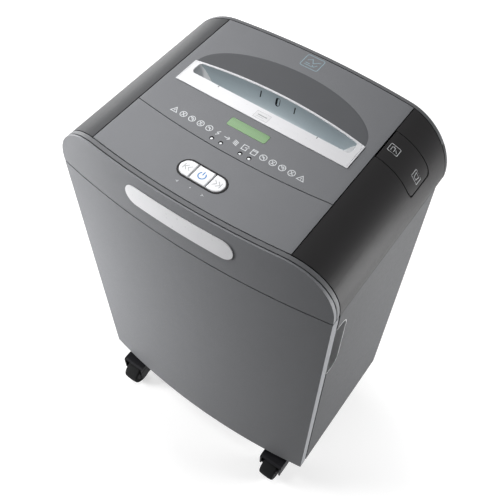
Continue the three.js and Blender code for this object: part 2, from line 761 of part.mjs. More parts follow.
// A stripper comb: a cross bar with one finger in each space between the discs.
function stripperComb(side, shaftY, firstDiscX) {
  const bore = spacerRadius + combClearance;
  const barY = shaftY + side * (discRadius + 1);
  const bar = side < 0
    ? box(-plateX + fit, plateX - fit, barY - 5, barY, shaftZ - 18, shaftZ + 16)
    : box(-plateX + fit, plateX - fit, barY, barY + 5, shaftZ - 18, shaftZ + 16);
  const reach = Math.acos(9 / bore);
  const start = side < 0 ? Math.PI - reach : -reach;
  const finger = new THREE.Shape();
  finger.absarc(shaftY, shaftZ, bore, start, start + 2 * reach);
  finger.lineTo(barY + side, shaftZ + side * bore * Math.sin(reach));
  finger.lineTo(barY + side, shaftZ - side * bore * Math.sin(reach));
  const fingerHalf = (discPitch - discThickness) / 2 - 0.8;
  const fingers = Array.from({ length: discCount - 1 }, (_, i) => {
    const x = firstDiscX + (i + 0.5) * discPitch;
    return alongX(finger, x - fingerHalf, x + fingerHalf, 1);
  });
  return join(bar, ...fingers);
}

function cutterPlate(side) {
  const backEnd = side < 0 ? motorY + 26 : rearShaftY + 36;
  const x0 = side < 0 ? -plateX - plateThickness : plateX;
  const x1 = x0 + plateThickness;
  const profile = rounded(frontShaftY - 32, backEnd, chassisZ1 + fit, plateTop, 6);
  const bores = [frontShaftY, rearShaftY];
  if (side < 0) bores.push(motorY);
  const holes = bores.map((y) => rodX(journalRadius + running, x0 - 1, x1 + 1, y, shaftZ, 16));
  return cut(alongX(profile, x0, x1, 2), ...holes);
}

// ---------------------------------------------------------------- gears
// Spur gear outline as [radius, angle] points, with involute flanks a little thinned for backlash.
function gearOutline(teeth, module, phase) {
  const pitch = (teeth * module) / 2;
  const baseRadius = pitch * Math.cos((20 * Math.PI) / 180);
  const tip = pitch + 0.9 * module;
  const root = pitch - 1.2 * module;
  const flankStart = pitch - 0.9 * module;
  const involute = (r) => {
    if (r <= baseRadius) return 0;
    const a = Math.acos(baseRadius / r);
    return Math.tan(a) - a;
  };
  const halfPitch = Math.PI / (2 * teeth) - backlash / (2 * pitch);
  const halfAngle = (r) => halfPitch + involute(pitch) - involute(r);
  const radii = flankStart - root < 0.5 * module ? [flankStart, tip] : [root, flankStart, tip];
  const points = [];
  for (let i = 0; i < teeth; i++) {
    const centre = phase + (i * 2 * Math.PI) / teeth;
    for (const r of radii) points.push([r, centre - halfAngle(r)]);
    for (const r of [...radii].reverse()) points.push([r, centre + halfAngle(r)]);
  }
  return points;
}

function gear(teeth, module, y, phase, x0, x1, bore = 0) {
  const points = gearOutline(teeth, module, phase).map(([r, a]) => [
    y + r * Math.cos(a),
    shaftZ + r * Math.sin(a),
  ]);
  const body = alongX(outline(points), x0, x1);
  return bore ? body.subtract(rodX(bore, x0 - 1, x1 + 1, y, shaftZ)) : body;
}

const syncX = [-plateX - 16, -plateX - 8];
const driveX = [-plateX - 29, -plateX - 19];
const motorGearX = [-plateX - 40, -plateX - 32];
const gearboxPlateX = -plateX - 47;
const axleRadius = 5;

// Turn that puts a gear's tooth space opposite a mate's tooth on the line of centres.
function halfTooth(teeth) {
  return Math.PI / teeth;
}

function syncGear(y, phase) {
  return gear(syncTeeth, syncModule, y, phase, ...syncX, journalRadius + fit);
}

function driveGear() {
  return gear(driveTeeth, driveModule, rearShaftY, 0, ...driveX, journalRadius + fit);
}

function compoundGear() {
  const large = gear(compoundLargeTeeth, motorModule, compoundY, 0, ...motorGearX);
  const hub = rodX(6.5, motorGearX[0] + 1, driveX[1] - 1, compoundY, shaftZ, 12);
  const phase = Math.PI + halfTooth(compoundSmallTeeth);
  const small = gear(compoundSmallTeeth, driveModule, compoundY, phase, ...driveX);
  const axle = rodX(axleRadius, gearboxPlateX - 3, -plateX - plateThickness - fit, compoundY, shaftZ, 12);
  return join(large, hub, small, axle);
}

// Outer plate of the gearbox, held off the cutter plate by four spacers.
function gearboxCover() {
  const front = frontShaftY - 28;
  const back = motorY + 22;
  const top = plateTop - 2;
  const profile = rounded(front, back, chassisZ1 + fit, top, 8);
  const plate = alongX(profile, gearboxPlateX, gearboxPlateX + 3, 2);
  const bore = rodX(axleRadius + running, gearboxPlateX - 1, gearboxPlateX + 5, compoundY, shaftZ, 12);
  const spacerX1 = -plateX - plateThickness - fit;
  const spacers = [front + 6, back - 6].flatMap((y) =>
    [chassisZ1 + 8, top - 7].map((z) => rodX(3.5, gearboxPlateX + 2, spacerX1, y, z, 6)),
  );
  return join(plate.subtract(bore), ...spacers);
}

function motorPinion() {
  const phase = Math.PI + halfTooth(pinionTeeth);
  const pinion = gear(pinionTeeth, motorModule, motorY, phase, ...motorGearX);
  const shaft = rodX(3.4, motorGearX[0], -plateX, motorY, shaftZ, 12);
  return join(pinion, shaft);
}

function driveMotor() {
  const radius = shaftZ - chassisZ1 - 4;
  const x0 = -plateX + fit;
  const can = rodX(radius, x0 + 6, x0 + 118, motorY, shaftZ, 18);
  const endBell = rodX(radius - 4, x0 + 117, x0 + 130, motorY, shaftZ, 18);
  const boss = rodX(radius - 8, x0, x0 + 7, motorY, shaftZ, 18);
  const foot = box(x0 + 24, x0 + 100, motorY - 18, motorY + 18, chassisZ1 + fit, shaftZ - radius + 4);
  return join(can, endBell, boss, foot);
}

// ---------------------------------------------------------------- cabinet
// Plan of the base board: bowed front, straight sides and rounded rear corners.
function baseBoard() {
  const half = halfWidth - baseInset;
  const steps = 8;
  const r = cornerRadius - baseInset;
  const back = backY - baseInset;
  const shape = new THREE.Shape();
  shape.moveTo(-half, frontY(half, baseFrontInset));
  for (let i = 1; i <= steps; i++) {
    const x = -half + (2 * half * i) / steps;
    shape.lineTo(x, frontY(x, baseFrontInset));
  }
  shape.absarc(half - r, back - r, r, 0, Math.PI / 2);
  shape.absarc(-half + r, back - r, r, Math.PI / 2, Math.PI);
  const pin = postZ(hingePin, hingeX, hingeY, baseTop - 1, baseTop + 11, 12);
  return join(upright(shape, baseZ, baseTop), pin);
}

// Heights that divide the cabinet evenly, for stiffening ribs.
function heights(count) {
  return Array.from({ length: count }, (_, i) => baseTop + ((panelTop - baseTop) * (i + 1)) / (count + 1));
}

// A side panel wraps round the rear corner and has a box stile along its front edge.
function sidePanel(side) {
  const inner = halfWidth - stileWidth;
  const r = cornerRadius;
  const shape = new THREE.Shape();
  shape.moveTo(halfWidth, sideFrontY);
  shape.lineTo(halfWidth, backY - r);
  shape.absarc(halfWidth - r, backY - r, r, 0, Math.PI / 2);
  shape.lineTo(backHalfWidth + fit, backY);
  shape.lineTo(backHalfWidth + fit, backY - panelWall);
  shape.absarc(halfWidth - r, backY - r, r - panelWall, Math.PI / 2, 0, true);
  shape.lineTo(halfWidth - panelWall, sideFrontY + stileDepth);
  shape.lineTo(inner, sideFrontY + stileDepth);
  shape.lineTo(inner, sideFrontY);
  const wall = upright(shape, baseTop + fit, panelTop);
  const ribX = halfWidth - panelWall;
  const ribs = heights(3).map((z) =>
    box(ribX - 6, ribX + 1, sideFrontY + stileDepth - 1, backY - r, z, z + 3),
  );
  const right = join(wall, ...ribs);
  if (side > 0) return cut(right, fingerRecess());
  return right.mirror([1, 0, 0]);
}

// The finger recess: a rounded pocket in the outer face, open towards the door.
function fingerRecess() {
  const y0 = sideFrontY - 2 * recessCorner;
  const y1 = sideFrontY + recessLength;
  const pocket = rounded(y0, y1, recessBottom, recessTop, recessCorner);
  return alongX(pocket, halfWidth - recessDepth, halfWidth + 5, 4);
}

function backPanel() {
  const sheet = box(-backHalfWidth, backHalfWidth, backY - panelWall, backY, baseTop + fit, panelTop);
  const folds = [-1, 1].map((side) => {
    const x = side * (backHalfWidth - 1);
    return box(x - 1, x + 1, backY - panelWall - 10, backY - panelWall + 1, baseTop + 6, panelTop - 6);
  });
  const beads = heights(2).map((z) =>
    box(-backHalfWidth + 10, backHalfWidth - 10, backY - panelWall - 5, backY - panelWall + 1, z, z + 3),
  );
  return join(sheet, ...folds, ...beads);
}

const doorZ0 = baseTop + 1.6;
const doorZ1 = panelTop - 0.4;

function frontDoor() {
  const back = () => doorDepthY;
  const block = upright(planBetween(-halfWidth, halfWidth, (x) => frontY(x), back), doorZ0, doorZ1);
  const hollowHalf = halfWidth - skin;
  const hollow = planBetween(-hollowHalf, hollowHalf, (x) => frontY(x, skin), () => doorDepthY + 1);
  const tray = block.subtract(upright(hollow, doorZ0 + skin, doorZ1 - skin));
  const ribHalfX = halfWidth - 2;
  const rib = planBetween(-ribHalfX, ribHalfX, (x) => frontY(x, 2), () => doorDepthY - 3);
  const ribs = heights(3).map((z) => upright(rib, z, z + 2.5));
  const bossRadius = 6;
  const bosses = [[doorZ0, doorZ0 + 14], [doorZ1 - 14, doorZ1]].map(([z0, z1]) =>
    postZ(bossRadius, hingeX, hingeY, z0, z1, 16),
  );
  const bores = [[doorZ0 - 1, doorZ0 + 12], [doorZ1 - 12, doorZ1 + 1]].map(([z0, z1]) =>
    postZ(hingePin + running, hingeX, hingeY, z0, z1, 12),
  );
  return cut(join(tray, ...ribs, ...bosses), ...bores);
}

const catchX = halfWidth - 60;
const catchFaceY = doorDepthY + 0.8;

function doorStrike() {
  const top = doorZ1 - skin - fit;
  const leg = box(catchX - 14, catchX + 14, catchFaceY - 17, catchFaceY - 0.5, top - 2, top);
  const face = box(catchX - 14, catchX + 14, catchFaceY - 2.5, catchFaceY - 0.5, top - 20, top);
  return join(leg, face);
}

function doorMagnet() {
  const top = chassisZ0 - fit;
  return box(catchX - 16, catchX + 16, catchFaceY + 0.1, catchFaceY + 12, top - 18, top);
}

function doorSwitch() {
  const top = chassisZ0 - fit;
  const body = box(catchX - 50, catchX - 30, catchFaceY + 4, catchFaceY + 14, top - 14, top);
  const plunger = box(catchX - 42, catchX - 38, catchFaceY, catchFaceY + 5, top - 5, top - 1.5);
  return join(body, plunger);
}

function wasteBin() {
  const z0 = baseTop + fit;
  const inset = (binTopHalf - binBottomHalf) * 0.7;
  const ring = (half, y0, y1, r, z) => ({
    z,
    points: cleanPoints(rounded(-half, half, y0, y1, r), 2).map((p) => [p.x, p.y]),
  });
  const top = binTop;
  const tub = (shrink, bottom, above) => {
    const low = inset + shrink;
    const high = binRim + shrink;
    const r = 20 - shrink;
    return loft([
      ring(binBottomHalf - shrink, binFrontY + low, binBackY - low, r, bottom),
      ring(binTopHalf - high, binFrontY + high, binBackY - high, r, top + above),
    ]);
  };
  const rimPlan = rounded(-binTopHalf, binTopHalf, binFrontY, binBackY, 20 + binRim);
  const rim = upright(rimPlan, top - 4, top, 3);
  const handle = alongY(rounded(-60, 60, top - 60, top - 30, 12), binFrontY - 20, binFrontY + 40, 3);
  return cut(join(tub(0, z0, 0), rim), tub(binWall, z0 + binWall, 0.1), handle);
}

// ---------------------------------------------------------------- badge plate
const badgeHalfLength = 86.5;
const badgeHalfHeight = 17.5;
const badgeZ = topZ - 37;
const badgeThickness = 1.2;

// The badge follows the fascia's lean and bow, so that it lies flat against it.
function badgePlate() {
  const straight = badgeHalfLength - badgeHalfHeight;
  const shape = new THREE.Shape();
  shape.absarc(straight, badgeZ, badgeHalfHeight, -Math.PI / 2, Math.PI / 2);
  shape.absarc(-straight, badgeZ, badgeHalfHeight, Math.PI / 2, 1.5 * Math.PI);
  const backLine = (x, lean) => frontY(x, lean - fit);
  const layer = leaningLayer(fit + badgeThickness, backLine, halfWidth, 8);
  return layer.intersect(alongY(shape, headFrontY, 0, 5));
}

// ---------------------------------------------------------------- casters
// Every caster is drawn with its stem at the origin, trailing towards the front.
function casterPlate() {
  const plate = upright(rounded(-24, 24, -20, 20, 5), baseZ - fit - 2.2, baseZ - fit, 2);
  const stem = postZ(pinRadius, 0, 0, hoodTop - 16, baseZ - fit - 1, 8);
  return join(plate, stem);
}

// The hood is the fork as well: a channel over the wheel with its side walls running down to the axle.
function casterHood() {
  const nose = -casterTrail - hoodNose;
  const half = hoodWidth / 2;
  const inner = half - hoodWall;
  const side = new THREE.Shape();
  side.moveTo(hoodTail, hoodTop);
  side.lineTo(nose + 3, hoodTop);
  side.quadraticCurveTo(nose, hoodTop, nose, hoodTop - 3);
  side.lineTo(nose, hoodWallFoot);
  side.lineTo(-casterTrail / 2, hoodWallFoot);
  side.lineTo(hoodTail, hoodTop - 22);
  const hood = alongX(side, -half, half, 3);
  const room = rodX(wheelRadius + 3, -inner, inner, -casterTrail, wheelRadius, 16);
  const frontRoom = box(-inner, inner, nose - 1, -casterTrail, -5, hoodTop - hoodWall);
  const below = box(-inner, inner, -casterTrail - 1, -7, -5, wheelRadius + 12);
  const stemBore = postZ(pinRadius + 2 * running, 0, 0, hoodTop - 18, hoodTop + 1, 8);
  const lugs = [-1, 1].map((end) => {
    const x = end * (wheelWidth / 2 + 0.7);
    const x1 = end * (inner + 1);
    return rodX(pinRadius + 2.5, Math.min(x, x1), Math.max(x, x1), -casterTrail, wheelRadius, 10);
  });
  const axle = rodX(pinRadius, -inner - 1, inner + 1, -casterTrail, wheelRadius, 8);
  return join(cut(hood, room, frontRoom, below, stemBore), ...lugs, axle);
}

function casterWheel() {
  const half = wheelWidth / 2;
  const bore = pinRadius + running;
  const profile = [
    [bore, -half],
    [wheelRadius - 3, -half],
    [wheelRadius, -half + 3],
    [wheelRadius, half - 3],
    [wheelRadius - 3, half],
    [bore, half],
  ].map(([r, x]) => new THREE.Vector2(r, x));
  profile.push(profile[0]);
  const lathe = new THREE.LatheGeometry(profile, 20);
  return solid(lathe.rotateZ(-Math.PI / 2).translate(0, -casterTrail, wheelRadius));
}

function addCaster(parent, name, x, y) {
  const group = new THREE.Group();
  group.position.set(x, y, 0);
  group.add(
    piece(name + "_caster_plate", casterPlate(), steel),
    piece(name + "_caster_hood", casterHood(), blackPlastic),
    piece(name + "_caster_wheel", casterWheel(), wheelGrey),
  );
  parent.add(group);
  return group;
}

// ---------------------------------------------------------------- assembly
const shredder = new THREE.Group();

const cabinet = new THREE.Group();
cabinet.add(
  piece("base_board", baseBoard(), blackPlastic),
  piece("left_side_panel", sidePanel(-1), charcoal),
  piece("right_side_panel", sidePanel(1), charcoal),
  piece("back_panel", backPanel(), charcoal),
  piece("waste_bin", wasteBin(), binPlastic),
  piece("front_door", frontDoor(), satinGrey),
  piece("door_strike", doorStrike(), steel),
  piece("door_magnet", doorMagnet(), blackPlastic),
  piece("door_switch", doorSwitch(), blackPlastic),
);

const head = new THREE.Group();
head.add(
  piece("head_chassis", headChassis(), blackPlastic),
  piece("left_shoulder", shoulder(-1), charcoal),
  piece("right_shoulder", rightShoulder(), darkCharcoal),
  piece("front_band", frontBand(), charcoal),
  piece("front_fascia", frontFascia(), satinGrey),
  piece("control_panel", controlPanel(), satinGrey),
  piece("feed_panel", feedPanel(), scoopGrey),
  piece("rear_cover", rearCover(), darkCharcoal),
  piece("feed_bezel", feedBezel(), paleSilver),
  piece("feed_throat", feedThroat(), blueGrey),
  piece("lcd_window", lcdWindow(), lcdGreen),
  piece("led_light_guide", ledLightGuide(), clearPlastic),
  piece("button_surround", buttonSurround(), darkCharcoal),
  piece("reverse_button", button(-surroundLength, -middleButtonHalf - buttonGap), whiteButton),
  piece("power_button", button(-middleButtonHalf, middleButtonHalf), whiteButton),
  piece("forward_button", button(middleButtonHalf + buttonGap, surroundLength), whiteButton),
  piece("badge_plate", badgePlate(), paleSilver),
  piece("compartment_lid", compartmentLid(), darkCharcoal),
  piece("control_board", controlBoard(), boardGreen),
  piece("display_board", displayBoard(), boardGreen),
  piece("mains_inlet", mainsInlet(), blackPlastic),
  piece("mains_switch_body", mainsSwitchBody(), blackPlastic),
);

const rockerMesh = piece("mains_rocker", rocker(), blackPlastic);
rockerMesh.position.set(switchX, rockerY, mainsZ);
rockerMesh.rotation.x = THREE.MathUtils.degToRad(rockerTilt);
head.add(rockerMesh);

const firstFrontDisc = (-(discCount - 0.5) * discPitch) / 2;
const firstRearDisc = firstFrontDisc + discPitch / 2;
const mechanism = new THREE.Group();
mechanism.add(
  piece("front_cutter_shaft", cutterShaft(frontShaftY, syncX[0] - 1, firstFrontDisc, 1), darkSteel),
  piece("rear_cutter_shaft", cutterShaft(rearShaftY, driveX[0] - 1, firstRearDisc, -1), darkSteel),
  piece("front_stripper_comb", stripperComb(-1, frontShaftY, firstFrontDisc), blackPlastic),
  piece("rear_stripper_comb", stripperComb(1, rearShaftY, firstRearDisc), blackPlastic),
  piece("left_cutter_plate", cutterPlate(-1), steel),
  piece("right_cutter_plate", cutterPlate(1), steel),
  piece("front_sync_gear", syncGear(frontShaftY, halfTooth(syncTeeth)), steel),
  piece("rear_sync_gear", syncGear(rearShaftY, 0), steel),
  piece("drive_gear", driveGear(), steel),
  piece("compound_gear", compoundGear(), steel),
  piece("motor_pinion", motorPinion(), steel),
  piece("gearbox_cover", gearboxCover(), steel),
  piece("drive_motor", driveMotor(), darkSteel),
);

const casters = new THREE.Group();
for (const [name, x, y] of [
  ["front_left", -casterX, frontCasterY],
  ["front_right", casterX, frontCasterY],
  ["rear_left", -casterX, rearCasterY],
  ["rear_right", casterX, rearCasterY],
])
  addCaster(casters, name, x, y);

shredder.add(cabinet, head, mechanism, casters);

// The origin is on the floor under the middle of the whole object's box.
const bounds = new THREE.Box3().setFromObject(shredder);
shredder.position.set(0, -(bounds.min.y + bounds.max.y) / 2, 0);

export default shredder;
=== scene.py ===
# %% [markdown]
# # A departmental paper shredder
# The machine is a tall cabinet on four swivel casters. A bowed door covers the waste bin, and a head
# with rounded shoulders carries the feed slot, the display, three keys and the cutters.
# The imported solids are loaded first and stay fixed: they say where every piece is and how it moves.
# What is modelled here gives the covers their true curves, edges, finishes and small parts.

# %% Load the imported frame
import json
import math
import bpy
from mathutils import Matrix, Quaternion, Vector

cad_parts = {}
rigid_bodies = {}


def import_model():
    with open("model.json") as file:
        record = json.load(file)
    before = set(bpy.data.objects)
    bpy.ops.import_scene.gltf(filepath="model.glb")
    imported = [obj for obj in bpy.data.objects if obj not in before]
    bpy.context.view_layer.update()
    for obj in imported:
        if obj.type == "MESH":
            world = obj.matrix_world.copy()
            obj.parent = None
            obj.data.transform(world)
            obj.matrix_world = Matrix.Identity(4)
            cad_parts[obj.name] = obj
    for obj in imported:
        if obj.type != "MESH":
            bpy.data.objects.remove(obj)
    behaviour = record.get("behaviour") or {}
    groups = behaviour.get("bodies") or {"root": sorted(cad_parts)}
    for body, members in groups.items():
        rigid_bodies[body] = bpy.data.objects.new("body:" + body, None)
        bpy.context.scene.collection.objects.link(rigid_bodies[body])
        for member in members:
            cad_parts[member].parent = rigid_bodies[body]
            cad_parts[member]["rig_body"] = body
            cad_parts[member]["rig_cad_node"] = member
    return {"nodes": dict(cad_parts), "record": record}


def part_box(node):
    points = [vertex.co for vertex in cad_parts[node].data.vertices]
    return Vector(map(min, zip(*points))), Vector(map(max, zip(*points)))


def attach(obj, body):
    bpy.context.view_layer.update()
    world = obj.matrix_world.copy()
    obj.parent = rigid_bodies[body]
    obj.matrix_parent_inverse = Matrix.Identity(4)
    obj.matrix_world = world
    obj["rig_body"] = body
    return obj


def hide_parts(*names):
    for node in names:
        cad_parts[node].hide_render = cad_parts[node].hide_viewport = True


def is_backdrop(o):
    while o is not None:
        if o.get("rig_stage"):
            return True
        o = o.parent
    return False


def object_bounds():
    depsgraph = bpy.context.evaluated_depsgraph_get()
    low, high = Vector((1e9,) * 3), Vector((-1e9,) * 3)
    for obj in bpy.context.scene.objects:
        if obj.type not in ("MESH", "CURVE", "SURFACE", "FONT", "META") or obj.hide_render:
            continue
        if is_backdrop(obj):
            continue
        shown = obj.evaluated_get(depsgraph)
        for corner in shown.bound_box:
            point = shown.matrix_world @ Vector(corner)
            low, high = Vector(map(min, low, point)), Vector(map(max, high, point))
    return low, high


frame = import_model()
bounds_at_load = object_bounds()
bpy.ops.object.select_all(action="DESELECT")

# %% [markdown]
# ## The drawing's sizes
# All sizes are in millimetres, as on a workshop drawing, and are turned into metres only when a mesh
# is made. Depth is measured from the plane of the two upright front edges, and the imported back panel
# tells where that plane lies in the frame. The front face and the rear of the head are shallow arcs,
# so two short formulas give the depth of any point on them.

# %% Driving sizes
MM = 0.001
WIDTH = 450
HALF = WIDTH / 2
TOP = 725
FRONT_EDGE = -150
BACK = 145
BOW = 20.6
SEAM = 1.5
FIT = 0.3
SKIN = 3
SEAM_Z = TOP - 88
HEAD_BOTTOM = SEAM_Z + SEAM / 2
CABINET_TOP = SEAM_Z - SEAM / 2
BASE_TOP = 82
SHOULDER_X = HALF - 79
SHOULDER_Z = SEAM_Z + 6
PANEL_SEAM_X = HALF - 70
DEPTH_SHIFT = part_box("back_panel")[1].y / MM - BACK
BOW_RADIUS = (HALF**2 + BOW**2) / (2 * BOW)
print("depth shift: %.2f mm, bow radius: %.0f mm" % (DEPTH_SHIFT, BOW_RADIUS))


def front_y(x, behind=0):
    """Depth of the bowed front at x, or of a line that far behind it."""
    return FRONT_EDGE - BOW + BOW_RADIUS - math.sqrt((BOW_RADIUS - behind) ** 2 - x * x)


def rear_y(x, ahead=0):
    """Depth of the head's bowed rear at x, or of a line that far in front of it."""
    return BACK + BOW - BOW_RADIUS + math.sqrt((BOW_RADIUS - ahead) ** 2 - x * x)


def place(x, y, z):
    """A point of the drawing, in metres in the frame."""
    return Vector((x * MM, (y + DEPTH_SHIFT) * MM, z * MM))


def drawing(point):
    """A point of the frame, in the drawing's millimetres."""
    return Vector((point.x / MM, point.y / MM - DEPTH_SHIFT, point.z / MM))


# %% [markdown]
# ## A small tool box
# Moulded covers are made as a toolmaker makes them: a full block is shaped first, and then cut and
# hollowed. Each block is a Blender primitive that is given its outline and extruded. Booleans join
# and cut the blocks, and a bevel breaks every sharp edge, because no moulded edge is sharp.

# %% Tools that make blocks
def only(*objects):
    """Select these objects and nothing else. The first becomes the active one."""
    bpy.ops.object.select_all(action="DESELECT")
    for each in objects:
        each.hide_set(False)
        each.select_set(True)
    bpy.context.view_layer.objects.active = objects[0]


def named(name):
    made = bpy.context.active_object
    made.name = name
    made.data.name = name
    return made


def settle(piece):
    """Write the object's place, turn and size into its mesh."""
    only(piece)
    bpy.ops.object.transform_apply(location=True, rotation=True, scale=True)
    return piece


def block(name, xs, ys, zs):
    """A rectangular block between two values on each axis."""
    low = place(xs[0], ys[0], zs[0])
    high = place(xs[1], ys[1], zs[1])
    bpy.ops.object.select_all(action="DESELECT")
    bpy.ops.mesh.primitive_cube_add(size=1, location=(low + high) / 2, scale=high - low)
    return settle(named(name))


def rod(name, radius, axis, centre, span, sides=32):
    """A round bar along an axis. centre holds the two other coordinates, span the two ends."""
    middle = (span[0] + span[1]) / 2
    where = list(centre)
    where.insert("xyz".index(axis), middle)
    turn = {"x": (0, math.pi / 2, 0), "y": (-math.pi / 2, 0, 0), "z": (0, 0, 0)}[axis]
    bpy.ops.object.select_all(action="DESELECT")
    bpy.ops.mesh.primitive_cone_add(
        vertices=sides,
        radius1=radius * MM,
        radius2=radius * MM,
        depth=(span[1] - span[0]) * MM,
        location=place(*where),
        rotation=turn,
    )
    return settle(named(name))


def prism(name, outline, axis, span):
    """An outline extruded along an axis. Its points hold the two other coordinates."""
    at = "xyz".index(axis)
    bpy.ops.object.select_all(action="DESELECT")
    bpy.ops.mesh.primitive_circle_add(vertices=len(outline), radius=1, fill_type="NGON")
    piece = named(name)
    for vertex, point in zip(piece.data.vertices, outline):
        where = list(point)
        where.insert(at, span[0])
        vertex.co = place(*where)
    push = [0, 0, 0]
    push[at] = (span[1] - span[0]) * MM
    bpy.ops.object.mode_set(mode="EDIT")
    bpy.ops.mesh.select_all(action="SELECT")
    bpy.ops.mesh.extrude_region_move(TRANSFORM_OT_translate={"value": push})
    bpy.ops.mesh.select_all(action="SELECT")
    bpy.ops.mesh.normals_make_consistent(inside=False)
    bpy.ops.object.mode_set(mode="OBJECT")
    return piece


# %% Tools that draw outlines
def arc(cx, cy, rx, ry, start, end, steps):
    """Points on an elliptic arc, with its angles in degrees."""
    turns = [math.radians(start + (end - start) * i / steps) for i in range(steps + 1)]
    return [(cx + rx * math.cos(t), cy + ry * math.sin(t)) for t in turns]


def rounded(x0, x1, y0, y1, r, steps=8):
    """A rectangle with rounded corners."""
    corners = [(x1 - r, y0 + r, -90), (x1 - r, y1 - r, 0), (x0 + r, y1 - r, 90), (x0 + r, y0 + r, 180)]
    return [p for cx, cy, start in corners for p in arc(cx, cy, r, r, start, start + 90, steps)]


def pill(cx, cy, half_length, half_width, steps=24):
    """A bar with half-round ends."""
    straight = half_length - half_width
    right = arc(cx + straight, cy, half_width, half_width, -90, 90, steps)
    left = arc(cx - straight, cy, half_width, half_width, 90, 270, steps)
    return right + left


def between(x0, x1, near, far, steps=40):
    """The plan region from x0 to x1 between two depth lines."""
    xs = [x0 + (x1 - x0) * i / steps for i in range(steps + 1)]
    return [(x, near(x)) for x in xs] + [(x, far(x)) for x in reversed(xs)]


# %% Tools that join, cut and finish
MERGE = 0.01
FLAT_ANGLE = 0.1
SMOOTH_ANGLE = 35


def boolean(piece, tools, operation):
    for tool in tools:
        only(piece)
        change = piece.modifiers.new("change", "BOOLEAN")
        change.object = tool
        change.operation = operation
        change.solver = "EXACT"
        bpy.ops.object.modifier_apply(modifier=change.name)
        bpy.data.objects.remove(tool, do_unlink=True)
    return piece


def cut(piece, *tools):
    return boolean(piece, tools, "DIFFERENCE")


def join(piece, *tools):
    return boolean(piece, tools, "UNION")


def keep(piece, *tools):
    """Keep only what lies inside the tools too."""
    return boolean(piece, tools, "INTERSECT")


def together(name, pieces):
    """Several separate shells as one object."""
    only(*pieces)
    bpy.ops.object.join()
    return named(name)


def copy_of(piece, name):
    only(piece)
    bpy.ops.object.duplicate()
    return named(name)


def clean(piece):
    """Merge doubled points and drop the edges between faces in one plane."""
    only(piece)
    bpy.ops.object.mode_set(mode="EDIT")
    bpy.ops.mesh.select_all(action="SELECT")
    bpy.ops.mesh.remove_doubles(threshold=MERGE * MM)
    bpy.ops.mesh.dissolve_limited(angle_limit=math.radians(FLAT_ANGLE))
    bpy.ops.object.mode_set(mode="OBJECT")
    return piece


def soften(piece, edge, segments=2, angle=SMOOTH_ANGLE):
    """Break the sharp edges and shade the curved faces smooth."""
    clean(piece)
    if edge:
        bevel = piece.modifiers.new("edges", "BEVEL")
        bevel.width = edge * MM
        bevel.segments = segments
        bevel.limit_method = "ANGLE"
        bevel.angle_limit = math.radians(angle)
        bevel.use_clamp_overlap = True
        bpy.ops.object.modifier_apply(modifier=bevel.name)
        bpy.ops.object.mode_set(mode="EDIT")
        bpy.ops.mesh.select_all(action="SELECT")
        bpy.ops.mesh.delete_loose()
        bpy.ops.object.mode_set(mode="OBJECT")
    bpy.ops.object.shade_smooth_by_angle(angle=math.radians(angle))
    weigh = piece.modifiers.new("normals", "WEIGHTED_NORMAL")
    weigh.keep_sharp = True
    weigh.weight = 100
    bpy.ops.object.modifier_apply(modifier=weigh.name)
    return piece


# %% [markdown]
# ## Finishes
# Nothing on the machine is one flat colour. Moulded covers have a fine spark-eroded grain, slightly
# uneven gloss and edges that hands have polished a little paler. Each finish below starts from a
# Principled shader whose plain numbers are set directly, and then gets its unevenness from noise on
# the piece's own coordinates, so that the grain has its true size and turns with the piece.

# %% Tools for finishes
def start_finish(name, colour, roughness, metallic=0.0, specular=0.5):
    made = bpy.data.materials.new(name)
    made.use_nodes = True
    made.diffuse_color = (*colour, 1)
    shader = made.node_tree.nodes["Principled BSDF"]
    shader.inputs["Base Color"].default_value = (*colour, 1)
    shader.inputs["Roughness"].default_value = roughness
    shader.inputs["Metallic"].default_value = metallic
    shader.inputs["Specular IOR Level"].default_value = specular
    return made


def add_node(finish, kind, **sockets):
    made = finish.node_tree.nodes.new(kind)
    for name, value in sockets.items():
        made.inputs[name.replace("_", " ")].default_value = value
    return made


def wire(finish, source, target):
    finish.node_tree.links.new(source, target)


def shader_of(finish):
    return finish.node_tree.nodes["Principled BSDF"]


def noise_on(finish, scale, detail, stretch=(1, 1, 1)):
    """Noise on the piece's own coordinates. scale is in waves per metre."""
    where = add_node(finish, "ShaderNodeTexCoord")
    turn = add_node(finish, "ShaderNodeMapping", Scale=stretch)
    noise = add_node(finish, "ShaderNodeTexNoise", Scale=scale, Detail=detail)
    wire(finish, where.outputs["Object"], turn.inputs["Vector"])
    wire(finish, turn.outputs["Vector"], noise.inputs["Vector"])
    return noise.outputs["Fac"]


def blend_colours(finish, factor, first, second):
    mix = finish.node_tree.nodes.new("ShaderNodeMix")
    mix.data_type = "RGBA"
    wire(finish, factor, mix.inputs["Factor"])
    for value, socket in ((first, mix.inputs[6]), (second, mix.inputs[7])):
        if isinstance(value, (tuple, list)):
            socket.default_value = (*value, 1)
        else:
            wire(finish, value, socket)
    return mix.outputs[2]


def spread_colour(finish, colour, spread=0.03, scale=45):
    """Faint changes of tone round the main colour."""
    dark = tuple(c * (1 - spread) for c in colour)
    pale = tuple(min(1, c * (1 + spread)) for c in colour)
    tone = blend_colours(finish, noise_on(finish, scale, 3), dark, pale)
    wire(finish, tone, shader_of(finish).inputs["Base Color"])
    return tone


def spread_gloss(finish, low, high, scale, stretch=(1, 1, 1)):
    """Patches of slightly different gloss."""
    levels = add_node(finish, "ShaderNodeMapRange", From_Min=0.3, From_Max=0.7, To_Min=low, To_Max=high)
    wire(finish, noise_on(finish, scale, 4, stretch), levels.inputs["Value"])
    wire(finish, levels.outputs["Result"], shader_of(finish).inputs["Roughness"])


